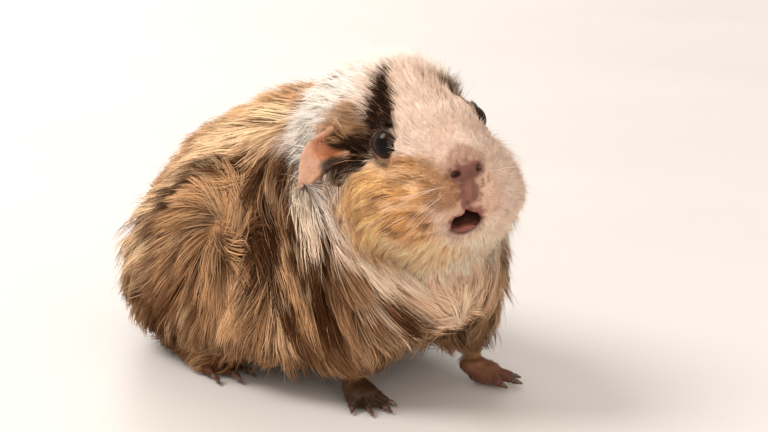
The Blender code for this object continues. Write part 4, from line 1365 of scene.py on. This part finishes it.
def groom(spots, seed, lock_size, pull, spread):
    """Guides, width and colours of one tuft on each root, bunched into locks of about lock_size mm."""
    rng = np.random.default_rng(seed)
    spots, up, vertex = on_skin(spots)
    fields = {name: values[vertex] for name, values in SKIN_FIELDS.items()}
    face, ear, foot = (fields[name] for name in ("face", "ear", "foot"))
    count = len(spots)
    leaders, lock = leaders_of(spots, lock_size, rng)
    # what the tufts of one lock share
    lock_turn = rng.normal(0, spread, len(leaders))[lock]
    lock_lift = rng.uniform(0.72, 1.12, len(leaders))[lock]
    lock_reach = rng.uniform(0.82, 1.15, len(leaders))[lock]
    lock_tone = rng.normal(0, 1, len(leaders))[lock]

    length = hair_length(spots, fields) * lock_reach * rng.uniform(0.78, 1.12, count)
    rise = hair_rise(spots, fields, length) * lock_lift
    layer = rng.uniform(0.30, 1.0, count) ** 0.7
    flow = lie(spots, up, face)
    heading = turned(flow, np.cross(up, flow), lock_turn + rng.normal(0, spread * 0.55, count))
    places, ups, on_face = laid_out(spots, up, face, heading, length)

    # height of the root and the guides over the skin, in mm, more at the crests and in loose hairs
    low = np.full(count, -ROOT_DEPTH)
    heights = np.stack([low, 0.50 * rise * layer, 0.95 * rise * layer, rise * layer], 1)
    crest = crest_distance(spots / MM, 1)
    heights[:, 2:] += (2.6 * (1 - ease(crest, 1.5, 6)) * layer * (face < 0.4))[:, None]
    tuft_lift = sum(np.exp(-(size_of(spots / MM - np.array(tuft)) / 13) ** 2) for tuft in RUMP_TUFTS)
    heights[:, 3] += 5.0 * tuft_lift * layer
    q = in_head(spots)
    by_ear = size_of((q - (-28, 50, 8)) / (13, 12, 12)) < 1
    on_cheek = ease(face, 0.4, 0.8) * ease(size_of(q - MUZZLE_FRONT), 10, 16)
    loose = (rng.random(count) < LOOSE_SHARE + 0.10 * on_cheek) & (ear < 0.3) & (foot < 0.3) & ~by_ear
    heights[loose, 2] += ((0.08 + 0.08 * on_cheek) * length)[loose]
    heights[loose, 3] += ((0.18 + 0.20 * on_cheek) * length)[loose]
    guides = [place + over * (height * MM)[:, None] for place, over, height in zip(places, ups, heights.T)]

    # bunched towards the leader's guides, and kept over the ground
    own = spots - spots[leaders][lock]
    for k, share in ((1, 0.30), (2, 0.75), (3, 1.0)):
        lead = guides[k][leaders][lock]
        gathered = lead + own * (1 - 0.55 * share) + ups[k] * (rng.normal(0, 0.18, count) * MM)[:, None]
        guides[k] = mix(guides[k], gathered, pull * share * np.where(loose, 0.4, 1.0))
        guides[k][:, 2] = np.maximum(guides[k][:, 2], (0.5 + 0.8 * layer) * MM)
    side = unit(np.cross(guides[2] - guides[0], up))
    over = unit(np.cross(side, guides[2] - guides[0]))
    width = (0.062 + 0.0066 * length) * rng.uniform(0.7, 1.3, count) * np.where(loose, 0.6, 1.0)
    roll = rng.normal(0, 0.5, count)

    # a tuft shows over the skin ahead of its root, so it takes the marking there
    seen = 0.4 * places[1] + 0.6 * places[2]
    astray = rng.normal(0, 1, (count, 3)) * (0.25 + 0.035 * length)[:, None] * MM
    base = lock_tones(tones(seen + astray, 0.4 * on_face[1] + 0.6 * on_face[2]), seen, face, lock_tone)
    stray = (rng.random(count) < STRAY_SHARE) & (base.mean(1) < 0.07)
    base[stray] = np.array(BROWN) * rng.uniform(0.6, 1.3, (stray.sum(), 1))
    bright = base.mean(1)
    pale_share = ease(bright, 0.30, 0.55)
    shade = np.exp((0.16 * lock_tone + rng.normal(0, 0.11, count)) * (1 - 0.5 * pale_share))
    root_tone = base * (shade * (0.56 + 0.40 * pale_share))[:, None]
    ticked = np.where(rng.random(count) < 0.35, 0.42, 0.10) * (1 - pale_share) * ease(bright, 0.04, 0.12)
    tip_tone = mix(base * (shade * 1.14)[:, None], CREAM, ticked)
    # sparse hair takes on the tone of the skin
    near_bare = ease(fields["bare"], 0.25, 0.8) * (1 - ease(ear, 0.2, 0.5))
    sparse = np.maximum.reduce([0.7 * ease(foot, 0.3, 0.7), 0.75 * near_bare, 0.8 * ease(ear, 0.3, 0.6)])
    skin_tone = bare(spots, ear, foot, fields["lip"])[1] * 1.25
    root_tone, tip_tone = (np.clip(mix(tone, skin_tone, sparse), 0, 0.96) for tone in (root_tone, tip_tone))
    return {"root": spots - up * ROOT_DEPTH * MM,
            "guide_1": guides[1], "guide_2": guides[2], "guide_3": guides[3],
            "half_width": turned(side, over, roll) * (width * MM)[:, None],
            "thickness": turned(over, -side, roll) * (width * 0.7 * MM)[:, None],
            "stand": soft_up[vertex], "root_tone": root_tone, "tip_tone": tip_tone}


def grow(name, tufts, unwrap_places, shape, material):
    """One piece of these tufts, which lie at these places on the bake map."""
    tufts = {**tufts, "unwrap": np.pad(unwrap_places, ((0, 0), (0, 1)))}
    mesh = bpy.data.meshes.new(name + "_roots")
    mesh.from_pydata(tufts["root"].tolist(), [], [])
    for field, values in tufts.items():
        give(mesh, field, values, "FLOAT_COLOR" if field.endswith("tone") else "FLOAT_VECTOR")
    piece = bpy.data.objects.new(name, mesh)
    bpy.context.scene.collection.objects.link(piece)
    grown = run_tree(piece, TUFTS, {
        "Tuft": shape, "Patch": PATCH * 0.9, "Softness": SOFTNESS, "Coat": material})
    for spent in (*tufts, "beside", "above"):
        if spent in grown.attributes:
            grown.attributes.remove(grown.attributes[spent])
    piece.data = grown
    grown.name = name
    return piece


def scatter(name, where, spacing, seed):
    """Roots on the skin, thinned by the values of where."""
    give(skin.data, name, where)
    most = DENSEST / (spacing * MM) ** 2
    found = run_tree(skin, SCATTER, {"Spacing": spacing * MM, "Most": most, "Where": name, "Seed": seed})
    points = points_of(found)
    skin.data.attributes.remove(skin.data.attributes[name])
    bpy.data.meshes.remove(found)
    return points


# ---------------------------------------------------------------- materials

def material(name, build, **constants):
    """A Principled material. build(nodes) gives what changes over the surface: socket name to wire."""
    made = bpy.data.materials.new(name)
    made.use_nodes = True
    made.node_tree.nodes.clear()
    nodes = Nodes(made.node_tree)
    constants = {socket.replace("_", " "): value for socket, value in constants.items()}
    shader = nodes.add("ShaderNodeBsdfPrincipled", None, {**constants, **build(nodes)})
    nodes.add("ShaderNodeOutputMaterial", None, {"Surface": shader})
    return made


def here(nodes, size=1.0):
    """Object coordinates, in units of this many mm."""
    place = nodes.add("ShaderNodeTexCoord", None, None, "Object")
    return nodes.add("ShaderNodeMapping", None, {"Vector": place, "Scale": (1000 / size,) * 3})


def noise(nodes, size, detail=3.0, rough=0.55):
    return nodes.add("ShaderNodeTexNoise", None, {
        "Vector": here(nodes, size), "Scale": 1.0, "Detail": detail, "Roughness": rough}, "Fac")


def bump(nodes, height, strength, depth):
    return nodes.add("ShaderNodeBump", None,
                     {"Height": height, "Strength": strength, "Distance": depth * MM})


def spanned(wire, low, high):
    """Stretches a value between low and high to 0 to 1."""
    return ((wire - low) / (high - low)).clamped()


def shaded(nodes, shade):
    """The surface's own tone, darker or lighter by this shade."""
    tone = nodes.add("ShaderNodeAttribute", {"attribute_name": "tone"})
    grey = nodes.add("ShaderNodeCombineColor", None, {0: shade, 1: shade, 2: shade})
    return blend_colour(nodes, tone, grey, 1.0, "MULTIPLY")


def coat_surface(nodes):
    mottle = spanned(noise(nodes, 3.2), 0.3, 0.7)
    streaks = spanned(noise(nodes, 0.8, 2.0), 0.25, 0.75)
    return {"Base Color": shaded(nodes, mottle * 0.08 + streaks * 0.09 + 0.86),
            "Roughness": 0.60 + 0.22 * mottle}


def skin_surface(nodes):
    naked = nodes.add("ShaderNodeAttribute", {"attribute_name": "bare"}, None, "Fac")
    pores = noise(nodes, 0.55, 4.0)
    blotch = spanned(noise(nodes, 2.6), 0.3, 0.7)
    nap = noise(nodes, 0.9, 5.0, 0.7)
    height = pores * naked + nap * (1 - naked)
    return {"Base Color": shaded(nodes, 0.82 + 0.22 * blotch + 0.06 * pores),
            "Roughness": 0.82 - 0.36 * naked + 0.12 * pores * naked,
            "Normal": bump(nodes, height, 0.5, 0.35)}


def eye_surface(nodes):
    rays = spanned(noise(nodes, 0.7, 4.0, 0.7), 0.3, 0.75)
    return {"Base Color": shaded(nodes, 0.6 + 0.8 * rays), "Roughness": 0.045 + 0.03 * rays}


# Where each tone of the horn stands along its ramp
HORN = [(0.30, (0.028, 0.013, 0.007)), (0.55, (0.075, 0.036, 0.020)), (0.85, (0.20, 0.115, 0.070))]


def claw_surface(nodes):
    growth = noise(nodes, 1.4, 4.0, 0.5)
    layers = noise(nodes, 0.35)
    horn = nodes.add("ShaderNodeValToRGB", {"stops": HORN}, {"Fac": growth})
    return {"Base Color": horn, "Roughness": 0.30 + 0.2 * layers, "Normal": bump(nodes, layers, 0.35, 0.12)}


def whisker_surface(nodes):
    wear = spanned(noise(nodes, 1.5), 0.3, 0.7)
    return {"Base Color": shaded(nodes, 0.85 + 0.2 * wear), "Roughness": 0.32 + 0.1 * wear}


def floor_surface(nodes):
    cloudy = spanned(noise(nodes, 260), 0.3, 0.7)
    grain = noise(nodes, 1.8, 4.0)
    return {"Base Color": blend_colour(nodes, (0.60, 0.595, 0.60), (0.63, 0.625, 0.635), cloudy),
            "Roughness": 0.42 + 0.14 * grain, "Normal": bump(nodes, grain, 0.05, 0.2)}


COAT = material("coat", coat_surface, Specular_IOR_Level=0.03,
                Sheen_Weight=0.02, Sheen_Roughness=0.45, Sheen_Tint=(1.0, 0.74, 0.50, 1.0))
SKIN = material("skin", skin_surface, Specular_IOR_Level=0.24)
EYE = material("eye", eye_surface, IOR=1.36, Specular_IOR_Level=0.22)
CLAW = material("claw_horn", claw_surface, Specular_IOR_Level=0.5)
WHISKER = material("whisker", whisker_surface, Specular_IOR_Level=0.4)
FLOOR = material("floor", floor_surface, Specular_IOR_Level=0.25)

skin.data.materials.clear()
skin.data.materials.append(SKIN)


# ---------------------------------------------------------------- the coat

SCATTER = scatter_tree()
TUFTS = tuft_tree()
SHORT_TUFT = tuft_shape("short_tuft", [(0.0, 0.8), (0.5, 0.85)])
LONG_TUFT = tuft_shape("long_tuft", [(0.0, 0.75), (0.36, 1.0), (0.72, 0.72)])
WHISKER_SHAPE = tuft_shape("whisker_shape", [(0.0, 1.0), (0.2, 0.95), (0.4, 0.8), (0.6, 0.62), (0.8, 0.4)])

spots_in_head = in_head(skin_shell.points)
face_here = SKIN_FIELDS["face"] > 0.5
ear_here = SKIN_FIELDS["ear"] > 0.35
limb_here = (SKIN_FIELDS["leg"] > 0.5) | (SKIN_FIELDS["foot"] > 0.35)
head_here = face_here | ear_here
# the coat keeps clear of the eyes, the bare skin and the ground, and is thinner below and behind the nose
hairy_foot_or_ear = (1 - ease(SKIN_FIELDS["foot"], 0.2, 0.5)) * (1 - ease(SKIN_FIELDS["ear"], 0.2, 0.5))
clear = 1 - ease(SKIN_FIELDS["bare"], 0.35, 0.90) * hairy_foot_or_ear
clear = clear * ease(eye_distance(spots_in_head), 5.25, 5.5) * ease(skin_shell.points[:, 2] / MM, 0.8, 1.8)
below = 1 - 0.55 * ease(-skin_up[:, 2], 0.45, 0.8)
nose_near = 1 - ease(size_of(spots_in_head - (0, 3, -8)), 14, 30)
by_right_ear = patch(spots_in_head, (-27.5, 49, 3.0), (6.5, 8, 4.5))

COATS = [
    # name, where, spacing mm, lock size mm, pull, spread, tuft shape, material slot
    ("body_coat", ~(head_here | limb_here) * below * clear, 0.60, 4.2, 0.62, 0.20, LONG_TUFT, "coat_brown"),
    ("head_coat", (face_here & ~ear_here & ~limb_here) * clear * (0.62 + 0.38 * nose_near),
     0.245, 2.0, 0.42, 0.16, SHORT_TUFT, "coat_pale"),
    ("limb_coat", (limb_here & ~face_here) * clear, 0.40, 1.8, 0.35, 0.16, SHORT_TUFT, "coat_brown"),
    ("ear_coat", ear_here * clear * (0.30 + 0.70 * by_right_ear),
     0.45, 1.2, 0.25, 0.25, SHORT_TUFT, "bare_skin"),
]
body_unwrap = low_unwrap(skin, BODY_UNWRAP_FACES)
head_unwrap = low_unwrap(skin, HEAD_UNWRAP_FACES, head_here)
pieces = []
for turn, (name, where, spacing, lock_size, pull, spread, shape, slot) in enumerate(COATS):
    tufts = groom(scatter(name, where, spacing, SEED + turn), SEED + 10 * turn, lock_size, pull, spread)
    places = unwrapped(head_unwrap if name in ("head_coat", "ear_coat") else body_unwrap, tufts["root"])
    count = len(places)
    share_out = np.random.default_rng(SEED + turn).permutation(count)
    parts = math.ceil(count * len(shape.data.polygons) / PIECE_TRIANGLES)
    print(name, count, "tufts in", parts, "pieces")
    for part in range(parts):
        chosen = np.zeros(count, bool)
        chosen[share_out[part::parts]] = True
        here_only = {field: values[chosen] for field, values in tufts.items()}
        piece = grow(f"{name}_{part + 1}" if parts > 1 else name, here_only, places[chosen], shape, COAT)
        pieces.append(piece)


# ---------------------------------------------------------------- whiskers

ROWS, IN_ROW = 4, 4
DROOP = np.array([0, 0.10, -0.16])  # of a whisker's tip, in the head's frame, as a share of its length


def make_whiskers():
    """Long fine hairs in rows on the whisker pads."""
    rng = np.random.default_rng(SEED + 90)
    guides, widths, tips = [], [], []
    for side in (-1, 1):
        for row, column in np.ndindex(ROWS, IN_ROW):
            outward = np.array([side, 1, 1])
            start = np.array([5.6 + 1.3 * row + 0.5 * column,
                              4.2 + 1.5 * column + 0.8 * row, -3.2 - 2.0 * row])
            start = start * outward + rng.normal(0, 0.35, 3)
            heading = np.array([0.80, 0.05 + 0.20 * column, 0.10 - 0.17 * row])
            heading = unit(heading * outward + rng.normal(0, 0.10, 3))
            length = (17 + 3.6 * column - 1.2 * row) * rng.uniform(0.75, 1.15)
            droop = DROOP * length * rng.uniform(0.6, 1.4)
            root = on_skin([from_head(start)])[0][0]
            steps = [heading * length * k / GUIDES + droop * (k / GUIDES) ** 2 for k in range(GUIDES + 1)]
            guides.append([root + (step * MM) @ HEAD_AXES for step in steps])
            widths.append(0.062 + 0.0018 * length)
            tips.append(mix(WHITE, TAN, rng.uniform(0, 0.5)))
    roots, *guides = np.array(guides).transpose(1, 0, 2)
    along = guides[2] - roots
    side = unit(np.cross(along, np.array([0.0, 0.0, 1.0])))
    over = unit(np.cross(side, along))
    widths = np.array(widths)[:, None] * MM
    tufts = {"root": roots, "guide_1": guides[0], "guide_2": guides[1], "guide_3": guides[2],
             "half_width": side * widths, "thickness": over * widths, "stand": over,
             "root_tone": np.array(tips) * 0.8, "tip_tone": np.array(tips)}
    places = np.random.default_rng(SEED).random((len(roots), 2)) * 0.99
    piece = grow("whiskers", tufts, places, WHISKER_SHAPE, WHISKER)
    return piece


for side in EYES:
    pieces.append(make_eye(side))
pieces.append(make_whiskers())
for shape in (SHORT_TUFT, LONG_TUFT, WHISKER_SHAPE):
    bpy.data.objects.remove(shape)

for spent in ("detail", "lid", "lip"):
    skin.data.attributes.remove(skin.data.attributes[spent])
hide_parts(*FLESH)
for piece in pieces + [skin]:
    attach(piece, "root")
for node, obj in frame["nodes"].items():
    if "claw" in node:
        obj.data.materials.clear()
        obj.data.materials.append(CLAW)


# ---------------------------------------------------------------- floor, light and camera

floor = object_from("floor", [(-4, -3, 0), (4, -3, 0), (4, 6, 0), (-4, 6, 0)], [(0, 1, 2, 3)], smooth=False)
floor.data.materials.append(FLOOR)


def looking(name, data, place, heading):
    """A light or camera that looks along the heading from its place."""
    obj = bpy.data.objects.new(name, data)
    obj.location = place
    obj.rotation_euler = Vector(heading).to_track_quat("-Z", "Y").to_euler()
    bpy.context.scene.collection.objects.link(obj)
    return obj


def soft_light(name, place, towards, size, power, colour):
    light = bpy.data.lights.new(name, "AREA")
    light.shape = "SQUARE"
    light.size, light.energy, light.color = size, power, colour
    looking(name, light, place, Vector(towards) - Vector(place))


def wide_sun(name, come_from, strength, spread, colour):
    sun = bpy.data.lights.new(name, "SUN")
    sun.energy, sun.angle, sun.color = strength, math.radians(spread), colour
    looking(name, sun, (0, 0, 0), -Vector(come_from))


SKY, SKY_STRENGTH = (1.0, 0.88, 0.77, 1), 0.72

wide_sun("key", (-0.50, 0.30, 0.78), 2.45, 30, (1.0, 0.94, 0.87))
wide_sun("back", (0.35, 0.80, 0.45), 1.1, 35, (1.0, 0.95, 0.90))
soft_light("fill", (-0.45, -0.95, 0.30), (0, 0, 0.06), 0.9, 7.5, (1.0, 0.86, 0.73))
world = bpy.data.worlds.new("studio")
world.use_nodes = True
bpy.context.scene.world = world
sky = world.node_tree.nodes["Background"]
sky.inputs["Color"].default_value = SKY
sky.inputs["Strength"].default_value = SKY_STRENGTH
bpy.context.scene.view_settings.view_transform = "Standard"

LENS = 85  # mm
CAMERA_PLACE = (-0.4080, -0.5197, 0.2092)
AZIMUTH, ELEVATION = math.radians(40), math.radians(13)
level = math.cos(ELEVATION)
heading = (math.sin(AZIMUTH) * level, math.cos(AZIMUTH) * level, -math.sin(ELEVATION))
camera = looking("camera", bpy.data.cameras.new("camera"), CAMERA_PLACE, heading)
camera.data.lens = LENS
camera.data.clip_start = 0.01
bpy.context.scene.camera = camera
